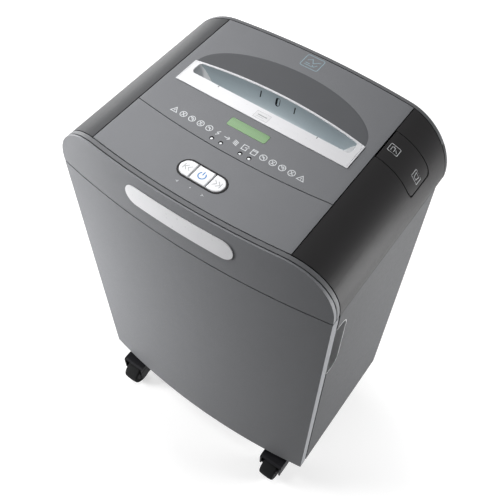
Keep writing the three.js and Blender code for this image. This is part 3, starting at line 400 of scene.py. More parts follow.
def add_grain(finish, scale, height, detail=2.0, stretch=(1, 1, 1)):
    """A raised grain of that many waves per metre and that height in metres."""
    bump = add_node(finish, "ShaderNodeBump", Strength=1.0, Distance=height)
    wire(finish, noise_on(finish, scale, detail, stretch), bump.inputs["Height"])
    wire(finish, bump.outputs["Normal"], shader_of(finish).inputs["Normal"])


def wear_edges(finish, tone, colour, amount, radius=0.0012):
    """Edges show paler where handling has polished them. Broken up by noise."""
    rounder = add_node(finish, "ShaderNodeBevel", Radius=radius)
    rounder.samples = 4
    shape = add_node(finish, "ShaderNodeNewGeometry")
    compare = finish.node_tree.nodes.new("ShaderNodeVectorMath")
    compare.operation = "DOT_PRODUCT"
    wire(finish, rounder.outputs["Normal"], compare.inputs[0])
    wire(finish, shape.outputs["Normal"], compare.inputs[1])
    edge = add_node(finish, "ShaderNodeMapRange", From_Min=0.99, From_Max=0.8, To_Min=0.0, To_Max=amount)
    wire(finish, compare.outputs["Value"], edge.inputs["Value"])
    patchy = finish.node_tree.nodes.new("ShaderNodeMath")
    patchy.operation = "MULTIPLY"
    wire(finish, edge.outputs["Result"], patchy.inputs[0])
    wire(finish, noise_on(finish, 60, 3), patchy.inputs[1])
    worn = blend_colours(finish, patchy.outputs["Value"], tone, colour)
    wire(finish, worn, shader_of(finish).inputs["Base Color"])


# %% [markdown]
# The covers are grained ABS. The door, the fascia and the flat top panels are sprayed with a satin
# grey that holds fine metal flakes, so they look paler where light grazes them. One function makes
# every grained plastic, because they differ only in colour, gloss and coarseness of grain.

# %% Plastics and paints
LCD_REAR = -9.4
LCD_FRONT = -25
LCD_SHADE = 7
CELL = 2 * MM
CELL_GAP = 0.5 * MM


def grained_plastic(name, colour, roughness, grain=1500, height=0.00002, wear=0.35, **shine):
    finish = start_finish(name, colour, roughness, **shine)
    tone = spread_colour(finish, colour)
    spread_gloss(finish, roughness - 0.03, roughness + 0.03, 220)
    add_grain(finish, grain, height)
    paler = tuple(min(1, c * 1.6 + 0.02) for c in colour)
    wear_edges(finish, tone, paler, wear, radius=0.0007)
    return finish


def flaked_paint(name, colour, roughness, **shine):
    """Satin paint with fine flakes: a plastic whose tone sparkles on a very small scale."""
    finish = grained_plastic(name, colour, roughness, 2600, 0.000008, **shine)
    shader = shader_of(finish)
    shader.inputs["Coat Weight"].default_value = 0.03
    shader.inputs["Coat Roughness"].default_value = 0.3
    base = shader.inputs["Base Color"].links[0].from_socket
    flakes = add_node(finish, "ShaderNodeMapRange", From_Min=0.56, From_Max=0.72, To_Min=0.0, To_Max=0.3)
    wire(finish, noise_on(finish, 3400, 1), flakes.inputs["Value"])
    pale = tuple(min(1, c * 1.9 + 0.05) for c in colour)
    speckled = blend_colours(finish, flakes.outputs["Result"], base, pale)
    wire(finish, speckled, shader.inputs["Base Color"])
    return finish


def clear_lens(name, colour, roughness, coat=0.6):
    finish = start_finish(name, colour, roughness)
    shader = shader_of(finish)
    shader.inputs["Coat Weight"].default_value = coat
    shader.inputs["Coat Roughness"].default_value = 0.05
    spread_colour(finish, colour, 0.05, 60)
    spread_gloss(finish, roughness, roughness + 0.06, 120)
    return finish


def display_glass(name, colour):
    """The display shows rows of small pale cells, and painted shade: it is darker along its rear edge, as if
    shaded by the rim over the sunken display.
    """
    finish = clear_lens(name, colour, 0.4, 0.05)
    pale = tuple(min(1, c * 1.25 + 0.05) for c in colour)
    where = add_node(finish, "ShaderNodeTexCoord")
    parts = add_node(finish, "ShaderNodeSeparateXYZ")
    wire(finish, where.outputs["Object"], parts.inputs["Vector"])
    # Painted shade: the colour runs from dark at the rear edge to paler 7 mm further forward, for the shade of
    # the window's rim.
    rear, shade_end = place(0, LCD_REAR, 0).y, place(0, LCD_REAR - LCD_SHADE, 0).y
    depth = add_node(finish, "ShaderNodeMapRange", From_Min=rear, From_Max=shade_end, To_Min=0.0, To_Max=1.0)
    wire(finish, parts.outputs["Y"], depth.inputs["Value"])
    shaded_ground = blend_colours(finish, depth.outputs["Result"], colour, pale)
    cell = {"Mortar_Size": CELL_GAP, "Brick_Width": CELL, "Row_Height": CELL}
    cells = add_node(finish, "ShaderNodeTexBrick", Scale=1.0, **cell)
    cells.offset = 0
    wire(finish, where.outputs["Object"], cells.inputs["Vector"])
    cells.inputs["Color1"].default_value = cells.inputs["Color2"].default_value = (0, 0, 0, 1)
    cells.inputs["Mortar"].default_value = (0.5, 0.5, 0.5, 1)
    glow = tuple(min(1, c * 1.2 + 0.08) for c in pale)
    lit = blend_colours(finish, cells.outputs["Color"], shaded_ground, glow)
    wire(finish, lit, shader_of(finish).inputs["Base Color"])
    return finish


def printed_ink(name, colour, roughness=0.55):
    """Screen printing: a thin, slightly broken film of ink."""
    finish = start_finish(name, colour, roughness)
    spread_colour(finish, colour, 0.12, 700)
    spread_gloss(finish, roughness - 0.08, roughness + 0.08, 400)
    add_grain(finish, 1800, 0.000006)
    return finish


# %% [markdown]
# Steel parts are zinc plated sheet or hardened cutter steel. Both are full metals whose gloss runs in
# fine lines along the machine, where the sheet was rolled or the shaft was ground.

# %% Metals and rubber
ROLLING_LINES = (12, 900, 900)


def lined_metal(name, colour, roughness):
    finish = start_finish(name, colour, roughness, metallic=1.0)
    tone = spread_colour(finish, colour, 0.1, 30)
    spread_gloss(finish, roughness - 0.08, roughness + 0.12, 1.0, ROLLING_LINES)
    add_grain(finish, 1.0, 0.000008, 3, ROLLING_LINES)
    wear_edges(finish, tone, tuple(min(1, c * 1.4) for c in colour), 0.6)
    return finish


def tread_rubber(name, colour):
    finish = start_finish(name, colour, 0.7, specular=0.05)
    tone = spread_colour(finish, colour, 0.12, 60)
    spread_gloss(finish, 0.62, 0.78, 90)
    add_grain(finish, 900, 0.00003, 4)
    wear_edges(finish, tone, tuple(min(1, c * 1.7 + 0.02) for c in colour), 0.4)
    return finish


FINISHES = {
    "charcoal_shell": grained_plastic("charcoal_shell", (0.058, 0.059, 0.062), 0.56, specular=0.08),
    "dark_shell": grained_plastic("dark_shell", (0.036, 0.035, 0.036), 0.5, specular=0.06),
    "satin_panel": flaked_paint("satin_panel", (0.205, 0.209, 0.22), 0.48, specular=0.06),
    # Painted light: a pale grey for the pocket beside the door, whose plastic is really the dark charcoal.
    "pocket_painted_light": grained_plastic("pocket_painted_light", (0.5, 0.505, 0.51), 0.5, specular=0.1),
    # The band's own grey. On the rear cover it also serves as painted light on the top rim.
    "band_grey_and_rim_light": grained_plastic("band_grey_and_rim_light", (0.16, 0.163, 0.17), 0.5, specular=0.08),
    # Painted shade: a darker grey for the scoop, whose surface is really the satin panel's grey.
    "scoop_painted_shade": grained_plastic("scoop_painted_shade", (0.112, 0.115, 0.122), 0.45, specular=0.06),
    "pale_trim": grained_plastic("pale_trim", (0.76, 0.76, 0.78), 0.3, height=0.000006, wear=0.1),
    # Painted shade: the funnel is drawn darker and bluer than its pale ends, for the shade deep in the opening;
    # its plastic is the same pale grey.
    "throat_plastic": grained_plastic("throat_plastic", (0.42, 0.48, 0.51), 0.38, height=0.00001),
    "funnel_end": grained_plastic("funnel_end", (0.8, 0.8, 0.81), 0.34, height=0.000008, wear=0.1),
    "label_film": printed_ink("label_film", (0.72, 0.72, 0.735), 0.4),
    "button_plastic": grained_plastic("button_plastic", (0.78, 0.785, 0.8), 0.28, height=0.000004, wear=0.1),
    "black_plastic": grained_plastic("black_plastic", (0.01, 0.01, 0.012), 0.5, specular=0.12),
    "bin_plastic": grained_plastic("bin_plastic", (0.028, 0.028, 0.031), 0.5, grain=900, height=0.00004),
    "board_resin": grained_plastic("board_resin", (0.02, 0.12, 0.055), 0.45, wear=0.2),
    "lcd": display_glass("lcd", (0.06, 0.17, 0.035)),
    "clear_guide": clear_lens("clear_guide", (0.86, 0.88, 0.9), 0.2),
    "wheel_rubber": tread_rubber("wheel_rubber", (0.02, 0.0205, 0.021)),
    "zinc_steel": lined_metal("zinc_steel", (0.56, 0.57, 0.58), 0.36),
    "cutter_steel": lined_metal("cutter_steel", (0.3, 0.31, 0.32), 0.32),
    "white_ink": printed_ink("white_ink", (0.72, 0.74, 0.76)),
    "grey_ink": printed_ink("grey_ink", (0.33, 0.34, 0.35)),
    "haze_ink": printed_ink("haze_ink", (0.27, 0.37, 0.42)),
    "blue_ink": printed_ink("blue_ink", (0.028, 0.212, 0.527)),
    "black_ink": printed_ink("black_ink", (0.012, 0.012, 0.013)),
}
print("finishes:", len(FINISHES))


def dress(piece, body, finish, slot, *stands_for):
    """Give a finished piece its material and the body that it moves with. The slot is not used."""
    piece.data.materials.clear()
    piece.data.materials.append(FINISHES[finish])
    if stands_for:
        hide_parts(*stands_for)
    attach(piece, body)
    print(piece.name + ":", len(piece.data.polygons), "faces, rides on", body)
    return piece


def paint_faces(piece, finish, test):
    """Give a second material to the faces that pass a test on centre, in drawing mm, and normal."""
    piece.data.materials.append(FINISHES[finish])
    for face in piece.data.polygons:
        if test(drawing(face.center), face.normal):
            face.material_index = 1


# %% [markdown]
# ## The cabinet
# Each side panel is one sheet that runs straight back, turns round the rear corner on a 28 mm radius
# and carries a box-shaped stile along its front edge. It is drawn in plan and extruded upwards. The
# right panel has a rounded pocket beside the door, so that fingers can reach behind the door's edge.
# A thin pale sheet lines the pocket. Its pale colour is painted light for the lit pocket, and its lip is a
# painted highlight round it. Three ribs stiffen each panel, and a ledge along its foot covers the joint with the
# base board.

# %% Side panels
CORNER = 28
WALL = 4
SIDE_FRONT = -131.5
STILE_DEPTH = 35.5
STILE_WIDTH = 22
RIB_COUNT = 3
RIB_DEPTH = 6
RIB_HEIGHT = 3
PANEL_FOOT = BASE_TOP + FIT
BACK_HALF = HALF - CORNER - 7


def rib_heights():
    return [BASE_TOP + (CABINET_TOP - BASE_TOP) * (i + 1) / (RIB_COUNT + 1) for i in range(RIB_COUNT)]


def mirrored(outline, side):
    return [(side * x, y) for x, y in outline]


def corner_strip(front, outer, inner):
    """The plan of a strip that lies between two distances behind the face, and turns the corner."""
    turn_x, turn_y = HALF - CORNER, BACK - CORNER
    strip = [(HALF - outer, front)]
    strip += arc(turn_x, turn_y, CORNER - outer, CORNER - outer, 0, 90, 24)
    strip += [(BACK_HALF + FIT, BACK - outer), (BACK_HALF + FIT, BACK - inner)]
    return strip + arc(turn_x, turn_y, CORNER - inner, CORNER - inner, 90, 0, 24)


def side_panel(side):
    behind_stile = SIDE_FRONT + STILE_DEPTH
    outline = corner_strip(SIDE_FRONT, 0, WALL)
    outline += [
        (HALF - WALL, behind_stile),
        (HALF - STILE_WIDTH, behind_stile),
        (HALF - STILE_WIDTH, SIDE_FRONT),
    ]
    panel = prism("side_panel", mirrored(outline, side), "z", (PANEL_FOOT, CABINET_TOP))
    ledge = corner_strip(behind_stile - 1, WALL - 1, WALL + RIB_DEPTH)
    ledge.append((HALF - WALL - RIB_DEPTH, behind_stile - 1))
    join(panel, prism("ledge", mirrored(ledge, side), "z", (PANEL_FOOT, PANEL_FOOT + RIB_HEIGHT)))
    xs = sorted((side * (HALF - WALL - RIB_DEPTH), side * (HALF - WALL + 1)))
    for z in rib_heights():
        join(panel, block("rib", xs, (behind_stile - 1, BACK - CORNER), (z, z + RIB_HEIGHT)))
    return panel


RECESS_DEPTH = 15
RECESS_LIP = 1.8
RECESS_TOP = SEAM_Z - 40
RECESS_LOW = SEAM_Z - 175
RECESS_BACK = SIDE_FRONT + 27.5
RECESS_CORNER = 18


def finger_recess(inset=0.0, depth=RECESS_DEPTH):
    """The pocket's shape. Its front end runs out past the panel, so that only its rear is round."""
    heights = (RECESS_LOW + inset, RECESS_TOP - inset)
    outline = rounded(SIDE_FRONT - 36, RECESS_BACK - inset, *heights, RECESS_CORNER - inset, 12)
    return prism("recess", outline, "x", (HALF - depth, HALF + 5))


def pocket_light_sheet():
    """A thin pale sheet in the pocket. Its colour is painted light for the lit pocket, and its lip shows as a
    painted highlight round the pocket.
    """
    clear = 0.05
    inside = block("slab", (0, HALF), (SIDE_FRONT, 0), (0, TOP))
    light_sheet = keep(finger_recess(clear, RECESS_DEPTH - clear), inside)
    return cut(light_sheet, finger_recess(RECESS_LIP, RECESS_DEPTH - 1))


left_side = soften(side_panel(-1), 0.8, 3)
left_side.name = "left_side"
dress(left_side, "root", "charcoal_shell", "charcoal_shell", "left_side_panel")
right_side = soften(cut(side_panel(1), finger_recess()), 0.8, 3)
right_side.name = "right_side"
dress(right_side, "root", "charcoal_shell", "charcoal_shell", "right_side_panel")
# Painted light: the pale sheet in the pocket stands for the light falling into it, and its lip for the highlight
# on the rounded edge.
light_sheet = soften(pocket_light_sheet(), 0.5, 3)
light_sheet.name = "pocket_light_sheet"
dress(light_sheet, "root", "pocket_painted_light", "charcoal_shell")

# %% [markdown]
# The door is a moulded tray with a bowed face, open at the back and stiffened by three ribs. It turns
# on two pins at its left edge. The face is drawn as an arc in plan, so that light slides across it.

# %% Door
DOOR_BACK = -135
DOOR_LOW = BASE_TOP + 1.6
DOOR_HIGH = CABINET_TOP - 1.2
DOOR_RIB = 2.5
HINGE = (-HALF + 7.5, FRONT_EDGE + 7.5)
HINGE_BOSS = 6
HINGE_BORE = 2.9
BOSS_HEIGHT = 14
BORE_DEPTH = 12


def door_tray():
    face = between(-HALF, HALF, front_y, lambda x: DOOR_BACK)
    tray = prism("door", face, "z", (DOOR_LOW, DOOR_HIGH))
    inside = HALF - SKIN
    hollow = between(-inside, inside, lambda x: front_y(x, SKIN), lambda x: DOOR_BACK + 1)
    cut(tray, prism("hollow", hollow, "z", (DOOR_LOW + SKIN, DOOR_HIGH - SKIN)))
    rib = between(-HALF + 2, HALF - 2, lambda x: front_y(x, 2), lambda x: DOOR_BACK - 3)
    for z in rib_heights():
        join(tray, prism("rib", rib, "z", (z, z + DOOR_RIB)))
    return tray


def add_hinge_bosses(tray):
    """Two bosses, one at each end of the hinge side, each bored for its pin."""
    for low, high in ((DOOR_LOW, DOOR_LOW + BOSS_HEIGHT), (DOOR_HIGH - BOSS_HEIGHT, DOOR_HIGH)):
        join(tray, rod("boss", HINGE_BOSS, "z", HINGE, (low, high)))
    for low, high in ((DOOR_LOW - 1, DOOR_LOW + BORE_DEPTH), (DOOR_HIGH - BORE_DEPTH, DOOR_HIGH + 1)):
        cut(tray, rod("bore", HINGE_BORE, "z", HINGE, (low, high), 24))
    return tray


door = soften(add_hinge_bosses(door_tray()), 0.9, 3)
dress(door, "door", "satin_panel", "satin_panel", "front_door")

# %% [markdown]
# The waste bin is a tapered tub with a rolled rim and a hand hole. It starts as a cube. Its upright
# edges are bevelled round, its foot is drawn in, its top is opened and a wall is given to it.

# %% Waste bin
BIN_TOP = SEAM_Z - 76.7
BIN_LOW = BASE_TOP + FIT
BIN_HALF = HALF - 29 - 5
BIN_FRONT = -119
BIN_BACK = 115
BIN_CORNER = 20
BIN_WALL = 2.5
RIM = 5
FOOT_SHARE = (0.942, 0.947)
FLOOR_SHARE = (0.945, 0.95)
HAND_HOLE = (60, 30)


def edges_where(piece, test):
    """Select the edges whose two ends, in drawing millimetres, pass the test."""
    only(piece)
    bpy.ops.object.mode_set(mode="EDIT")
    bpy.ops.mesh.select_mode(type="EDGE")
    bpy.ops.mesh.select_all(action="DESELECT")
    bpy.ops.object.mode_set(mode="OBJECT")
    points = piece.data.vertices
    for edge in piece.data.edges:
        edge.select = test(*(drawing(points[i].co) for i in edge.vertices))
    bpy.ops.object.mode_set(mode="EDIT")


def faces_where(piece, test):
    """Select the faces whose centre, in drawing millimetres, and normal pass the test."""
    only(piece)
    bpy.ops.object.mode_set(mode="EDIT")
    bpy.ops.mesh.select_mode(type="FACE")
    bpy.ops.mesh.select_all(action="DESELECT")
    bpy.ops.object.mode_set(mode="OBJECT")
    for face in piece.data.polygons:
        face.select = test(drawing(face.center), face.normal)
    bpy.ops.object.mode_set(mode="EDIT")


def taper_foot(piece):
    """Draw the points at the foot in towards the middle."""
    middle = (BIN_FRONT + BIN_BACK) / 2
    for vertex in piece.data.vertices:
        x, y, z = drawing(vertex.co)
        if z < BIN_LOW + 1:
            vertex.co = place(x * FOOT_SHARE[0], middle + (y - middle) * FOOT_SHARE[1], z)


def waste_bin():
    tub = block("bin", (-BIN_HALF, BIN_HALF), (BIN_FRONT, BIN_BACK), (BIN_LOW, BIN_TOP))
    edges_where(tub, lambda a, b: abs(a.z - b.z) > 100)
    bpy.ops.mesh.bevel(offset=BIN_CORNER * MM, segments=10)
    bpy.ops.object.mode_set(mode="OBJECT")
    taper_foot(tub)
    faces_where(tub, lambda c, n: n.z < -0.9)
    bpy.ops.mesh.bevel(offset=4 * MM, segments=4)
    bpy.ops.object.mode_set(mode="OBJECT")
    faces_where(tub, lambda c, n: n.z > 0.9)
    bpy.ops.mesh.inset(thickness=BIN_WALL * MM)
    sink = (0, 0, (BIN_LOW + BIN_WALL - BIN_TOP) * MM)
    bpy.ops.mesh.extrude_region_move(TRANSFORM_OT_translate={"value": sink})
    bpy.ops.transform.resize(value=(*FLOOR_SHARE, 1))
    bpy.ops.object.mode_set(mode="OBJECT")
    return tub


def bin_rim():
    outer = rounded(-BIN_HALF - RIM, BIN_HALF + RIM, BIN_FRONT - RIM, BIN_BACK + RIM, BIN_CORNER + RIM, 12)
    inner = rounded(-BIN_HALF + 1, BIN_HALF - 1, BIN_FRONT + 1, BIN_BACK - 1, BIN_CORNER - 1, 12)
    rim = prism("rim", outer, "z", (BIN_TOP - 4, BIN_TOP))
    return cut(rim, prism("mouth", inner, "z", (BIN_TOP - 10, BIN_TOP + 5)))


def hand_hole():
    half, height = HAND_HOLE
    outline = rounded(-half, half, BIN_TOP - 2 * height, BIN_TOP - height, 12)
    return prism("hand_hole", outline, "y", (BIN_FRONT - 25, BIN_FRONT + 35))


tub = join(waste_bin(), bin_rim())
tub = soften(cut(tub, hand_hole()), 0.7, 2)
tub.name = "shred_bin"
dress(tub, "root", "bin_plastic", "bin_plastic", "waste_bin")

# %% [markdown]
# ## The head
# All the covers of the head are cut from one block. Its section has upright flanks, elliptic
# shoulders and a flat top, and its front and rear are bowed like the door. A second, smaller block
# hollows it to a wall of 3 mm. Every cover is what a plan region leaves of that wall.

# %% Head block
FAR = 190


def head_block(inset=0, bottom=HEAD_BOTTOM):
    """The head's section, or one that far inside it, drawn out from front to rear."""
    flank = HALF - inset
    rx = flank - SHOULDER_X
    rz = TOP - inset - SHOULDER_Z
    section = [(-flank, bottom), (flank, bottom)]
    section += arc(SHOULDER_X, SHOULDER_Z, rx, rz, 0, 90, 24)
    section += arc(-SHOULDER_X, SHOULDER_Z, rx, rz, 90, 180, 24)
    return prism("head", section, "y", (-FAR, FAR))


def head_hollow(wall=SKIN):
    """The head block that far inside, open at the bottom."""
    return head_block(wall, HEAD_BOTTOM - 9)


def head_cover(name, x0, x1, near, far):
    """The part of the head's wall that lies over a plan region."""
    cover = prism(name, between(x0, x1, near, far), "z", (HEAD_BOTTOM - 1, TOP + 1))
    keep(cover, head_block())
    return cut(cover, head_hollow())


def front_line(behind):
    return lambda x: front_y(x, behind)


def rear_line(ahead):
    return lambda x: rear_y(x, ahead)


FASCIA = 6.5
BAND = 14.4
SPLIT = 104
REAR = 6
GROOVE = 0.9
band = head_cover("trim_band", -HALF, HALF, front_line(FASCIA + GROOVE), front_line(BAND - GROOVE))
dress(soften(band, 0.4, 2), "root", "band_grey_and_rim_light", "charcoal_shell", "front_band")

# %% [markdown]
# The fascia closes the head at the front. Its face leans back towards the top in an easy curve, so a
# bowed slab is sliced at several heights, and every slice is shifted back by the square of its rise.
# The badge plate is cut from a thinner layer of the same shape, so that it lies flat on the face.

# %% Fascia and badge plate
LEAN = 3.5
LEAN_LEVELS = 14
BADGE = (86.5, 17.5)


def leaning_layer(name, ahead_near, far):
    """A bowed layer, sliced level by level, so that its points can follow the fascia's lean."""
    layer = prism(name, between(-HALF, HALF, front_line(-ahead_near), far), "z", (HEAD_BOTTOM, TOP))
    only(layer)
    bpy.ops.object.mode_set(mode="EDIT")
    for i in range(1, LEAN_LEVELS):
        z = HEAD_BOTTOM + (TOP - HEAD_BOTTOM) * i / LEAN_LEVELS
        bpy.ops.mesh.select_all(action="SELECT")
        bpy.ops.mesh.bisect(plane_co=place(0, 0, z), plane_no=(0, 0, 1))
    bpy.ops.object.mode_set(mode="OBJECT")
    return layer


def lean_back(layer, depth):
    """Shift the points up to that depth behind the front face back, more towards the top."""
    for vertex in layer.data.vertices:
        x, y, z = drawing(vertex.co)
        if y < front_y(x, depth):
            rise = (z - HEAD_BOTTOM) / (TOP - HEAD_BOTTOM)
            vertex.co = place(x, front_y(x, y - front_y(x) + LEAN * rise * rise), z)
    return layer


def fascia():
    layer = lean_back(leaning_layer("fascia", 0, front_line(FASCIA - 0.6)), 1)
    return keep(layer, head_block())


dress(soften(fascia(), 1.1, 3), "root", "satin_panel", "satin_panel", "front_fascia")


def badge_plate():
    layer = leaning_layer("badge", FIT + 1.2, front_line(-FIT))
    lean_back(layer, 5)
    return keep(layer, prism("outline", pill(0, TOP - 37, *BADGE), "y", (-FAR, -100)))


dress(soften(badge_plate(), 0.4, 2, 50), "root", "pale_trim", "pale_trim", "badge_plate")

# %% [markdown]
# The control panel is the front half of the flat top. It has one pill-shaped opening for the keys.
# A dark surround stands in the opening, and three pale keys, cut from one pill, move inside it.

# %% Control panel and its surround
KEYS_Y = -114.5
SURROUND = (37, 15)
KEYS = (34.5, 12.5)
KEY_GAP = 1.7
MIDDLE_KEY = 12.35
KEY_TOP = TOP + 1.3
KEY_FOOT = TOP - 9.7
COVER_FRONT = front_line(BAND + GROOVE / 2)
COVER_REAR = rear_line(REAR + SEAM / 2)


def control_panel():
    side = PANEL_SEAM_X - SEAM / 2
    panel = head_cover("control_cover", -side, side, COVER_FRONT, front_line(SPLIT - SEAM / 2))
    hole = pill(0, KEYS_Y, SURROUND[0] + FIT, SURROUND[1] + FIT)
    return cut(panel, prism("hole", hole, "z", (TOP - 10, TOP + 1)))


dress(soften(control_panel(), 0.5, 2), "root", "satin_panel", "satin_panel", "control_panel")


def key_surround():
    ring = prism("key_surround", pill(0, KEYS_Y, *SURROUND), "z", (TOP - 8.1, TOP + 0.6))
    flange = pill(0, KEYS_Y, SURROUND[0] + 3, SURROUND[1] + 3)
    join(ring, prism("flange", flange, "z", (TOP - 6, TOP - SKIN - FIT)))
    inside = pill(0, KEYS_Y, KEYS[0] + 0.4, KEYS[1] + 0.4)
    return cut(ring, prism("inside", inside, "z", (TOP - 9, TOP + 2)))


dress(soften(key_surround(), 0.45, 3), "root", "dark_shell", "dark_shell", "button_surround")


# %% Keys
KEY_FLANGE = 1.3
KEY_ROUND = 1.6


def key(name, x0, x1):
    """A slice of the pill, with a flange at its foot and a round edge at its top."""
    shapes = []
    for half, radius, top in ((*KEYS, KEY_TOP), (KEYS[0] + 1.5, SURROUND[1] - 0.5, KEY_FOOT + KEY_FLANGE)):
        shape = prism(name, pill(0, KEYS_Y, half, radius), "z", (KEY_FOOT, top))
        piece_slice = block("slice", (x0, x1), (KEYS_Y - 20, KEYS_Y + 20), (KEY_FOOT - 1, KEY_TOP + 1))
        shapes.append(keep(shape, piece_slice))
    cap = clean(join(*shapes))
    faces_where(cap, lambda c, n: c.z > KEY_TOP - 0.1 and n.z > 0.9)
    bpy.ops.mesh.bevel(offset=KEY_ROUND * MM, segments=5)
    bpy.ops.object.mode_set(mode="OBJECT")
    return soften(cap, 0, 0)


KEY_SPANS = {
    "reverse": (-40, -MIDDLE_KEY - KEY_GAP),
    "power": (-MIDDLE_KEY, MIDDLE_KEY),
    "forward": (MIDDLE_KEY + KEY_GAP, 40),
}
for side, span in KEY_SPANS.items():
    dress(key(side + "_cap", *span), side + "_key", "button_plastic", "button_plastic", side + "_button")

# %% [markdown]
# The feed panel is the rear half of the flat top. Behind the feed opening it is hollowed by a shallow
# scoop, deepest at the opening, so that a hand can guide the paper. The scoop runs out to nothing at
# an elliptic rim, so the tool that cuts it is the lowest cap of a large stretched ball.

# %% Feed panel
LCD = (30.8, (LCD_REAR - LCD_FRONT) / 2, (LCD_REAR + LCD_FRONT) / 2)
LED_Y = -56.3
LED_XS = (-30, -15.5, 15.2, 29.4)
LED_HOLE = 3.3
LAMP = 2.3
LAMP_FOOT = TOP - 12
BEZEL_HALF = 138.5
BEZEL_FRONT = 3
BEZEL_SIDE = 47.8
BEZEL_BACK = 62.5
BEZEL_END = 9.5
BEZEL_TOP = TOP + 1.5
LANDING = 25.6
SCOOP_BACK = 116
SCOOP_FRONT = 48
SCOOP_DEPTH = 5.5


def bezel_plan(margin):
    half = BEZEL_HALF + margin
    rise = BEZEL_BACK - BEZEL_SIDE
    back = lambda x: BEZEL_SIDE + margin + rise * (1 - (x / half) ** 2)
    return between(-half, half, lambda x: BEZEL_FRONT - margin, back)


def scoop_column(name, grow, low, high):
    outline = arc(0, SCOOP_FRONT, BEZEL_HALF - 1 + grow, SCOOP_BACK - SCOOP_FRONT + grow, 0, 180, 96)
    return prism(name, outline, "z", (low, high))


def scoop():
    """The cap below the panel's top of a ball that is stretched to the scoop's rim and depth."""
    height = 60
    centre = height - SCOOP_DEPTH
    share = math.sqrt(1 - (centre / height) ** 2)
    stretch = ((BEZEL_HALF - 1) / share, (SCOOP_BACK - SCOOP_FRONT) / share, height)
    bpy.ops.object.select_all(action="DESELECT")
    bpy.ops.mesh.primitive_uv_sphere_add(
        segments=96,
        ring_count=160,
        radius=MM,
        location=place(0, SCOOP_FRONT, TOP + centre),
        scale=stretch,
    )
    ball = settle(named("scoop"))
    return keep(ball, block("rear_half", (-HALF, HALF), (SCOOP_FRONT, BACK), (TOP - 20, TOP + 5)))


def lcd_plan(grow):
    half_x, half_y, y = LCD
    return rounded(-half_x - grow, half_x + grow, y - half_y - grow, y + half_y + grow, 3)


def feed_panel():
    side = PANEL_SEAM_X - SEAM / 2
    panel = head_cover("feed_cover", -side, side, front_line(SPLIT + SEAM / 2), COVER_REAR)
    join(panel, scoop_column("under", SKIN, TOP - SCOOP_DEPTH - SKIN, TOP - 1))
    cut(panel, scoop())
    cut(panel, prism("opening", bezel_plan(-0.5), "z", (TOP - 20, TOP + 2)))
    cut(panel, prism("window", lcd_plan(FIT), "z", (TOP - 10, TOP + 1)))
    for x in LED_XS:
        cut(panel, rod("led_hole", LED_HOLE, "z", (x, LED_Y), (TOP - 10, TOP + 1), 32))
    return panel


# Picks the upward faces of the scoop's dish, which take the painted shade.
def in_scoop_shade(middle, normal):
    share = (middle.x / (BEZEL_HALF - 1)) ** 2 + ((middle.y - SCOOP_FRONT) / (SCOOP_BACK - SCOOP_FRONT)) ** 2
    outer_side = normal.z > 0.5 and middle.z > TOP - SCOOP_DEPTH - 0.5
    return outer_side and middle.y > SCOOP_FRONT and share < 0.999


feed_cover = dress(soften(feed_panel(), 0.5, 2), "root", "satin_panel", "satin_panel", "feed_panel")
# The scoop's dish is drawn darker than the panel: painted shade in the hollow.
paint_faces(feed_cover, "scoop_painted_shade", in_scoop_shade)

# %% [markdown]
# ## Feed opening
# A pale bezel frames the opening. Its broad front land guides the sheet, and a thin rolled rim runs
# round the other three sides. The throat below it is a funnel: its back wall falls steeply and then
# curls forward to the paper slot, and its ends are pale ramps that centre the sheet.

# %% Bezel
COLLAR = 0.4


def throat_back(x, margin=0):
    half = BEZEL_HALF - BEZEL_END
    rise = (BEZEL_BACK - BEZEL_SIDE) * (half / BEZEL_HALF) ** 2
    return BEZEL_BACK - 3 - rise * (x / half) ** 2 + margin


def throat_plan(half, near, far, r):
    """The opening: a straight front edge, a bowed back one and rounded ends."""
    steps = 28
    plan = arc(half - r, near + r, r, r, -90, 0, 6)
    xs = [(half - r) * (1 - 2 * i / steps) for i in range(steps + 1)]
    plan += arc(half - r, far(half - r) - r, r, r, 0, 60, 4)
    plan += [(x, far(x)) for x in xs]
    plan += arc(-half + r, far(half - r) - r, r, r, 120, 180, 4)
    plan += arc(-half + r, near + r, r, r, 180, 270, 6)
    return plan


def opening_plan(grow):
    """The edge of the opening, or a line that far outside it."""
    half = BEZEL_HALF - BEZEL_END + grow
    return throat_plan(half, LANDING - grow, lambda x: throat_back(x, grow), 6.5 + grow)


def bezel():
    frame_plate = prism("feed_frame", bezel_plan(0), "z", (TOP + FIT, BEZEL_TOP))
    skirt = prism("skirt", bezel_plan(-0.9), "z", (TOP - 8.7, BEZEL_TOP - 0.1))
    hollow = prism("hollow", bezel_plan(-3), "z", (TOP - 20, TOP + FIT))
    cut(hollow, prism("wall", opening_plan(2.7), "z", (TOP - 21, TOP + 1)))
    cut(skirt, hollow, prism("room", opening_plan(COLLAR + FIT), "z", (TOP - 20, TOP + FIT)))
    join(frame_plate, skirt)
    cut(frame_plate, prism("opening", opening_plan(0), "z", (TOP - 20, TOP + 5)))
    groove = prism("groove", bezel_plan(-1.5), "z", (BEZEL_TOP - 0.5, TOP + 3))
    cut(groove, prism("land", bezel_plan(-2.4), "z", (TOP, TOP + 4)))
    cut(groove, block("front", (-HALF, HALF), (BEZEL_FRONT - 5, BEZEL_FRONT + 3), (TOP, TOP + 4)))
    return cut(frame_plate, groove)


dress(soften(bezel(), 0.35, 2), "root", "pale_trim", "pale_trim", "feed_bezel")


# %% Throat
THROAT_TOP = TOP - 9
THROAT_FOOT = TOP - 30
COLLAR_TOP = TOP + FIT - 0.2
SLOT_HALF = BEZEL_HALF - 17.5
SLOT = (30, 38)
THROAT_LEVELS = 20
THROAT_WALL = 2.5


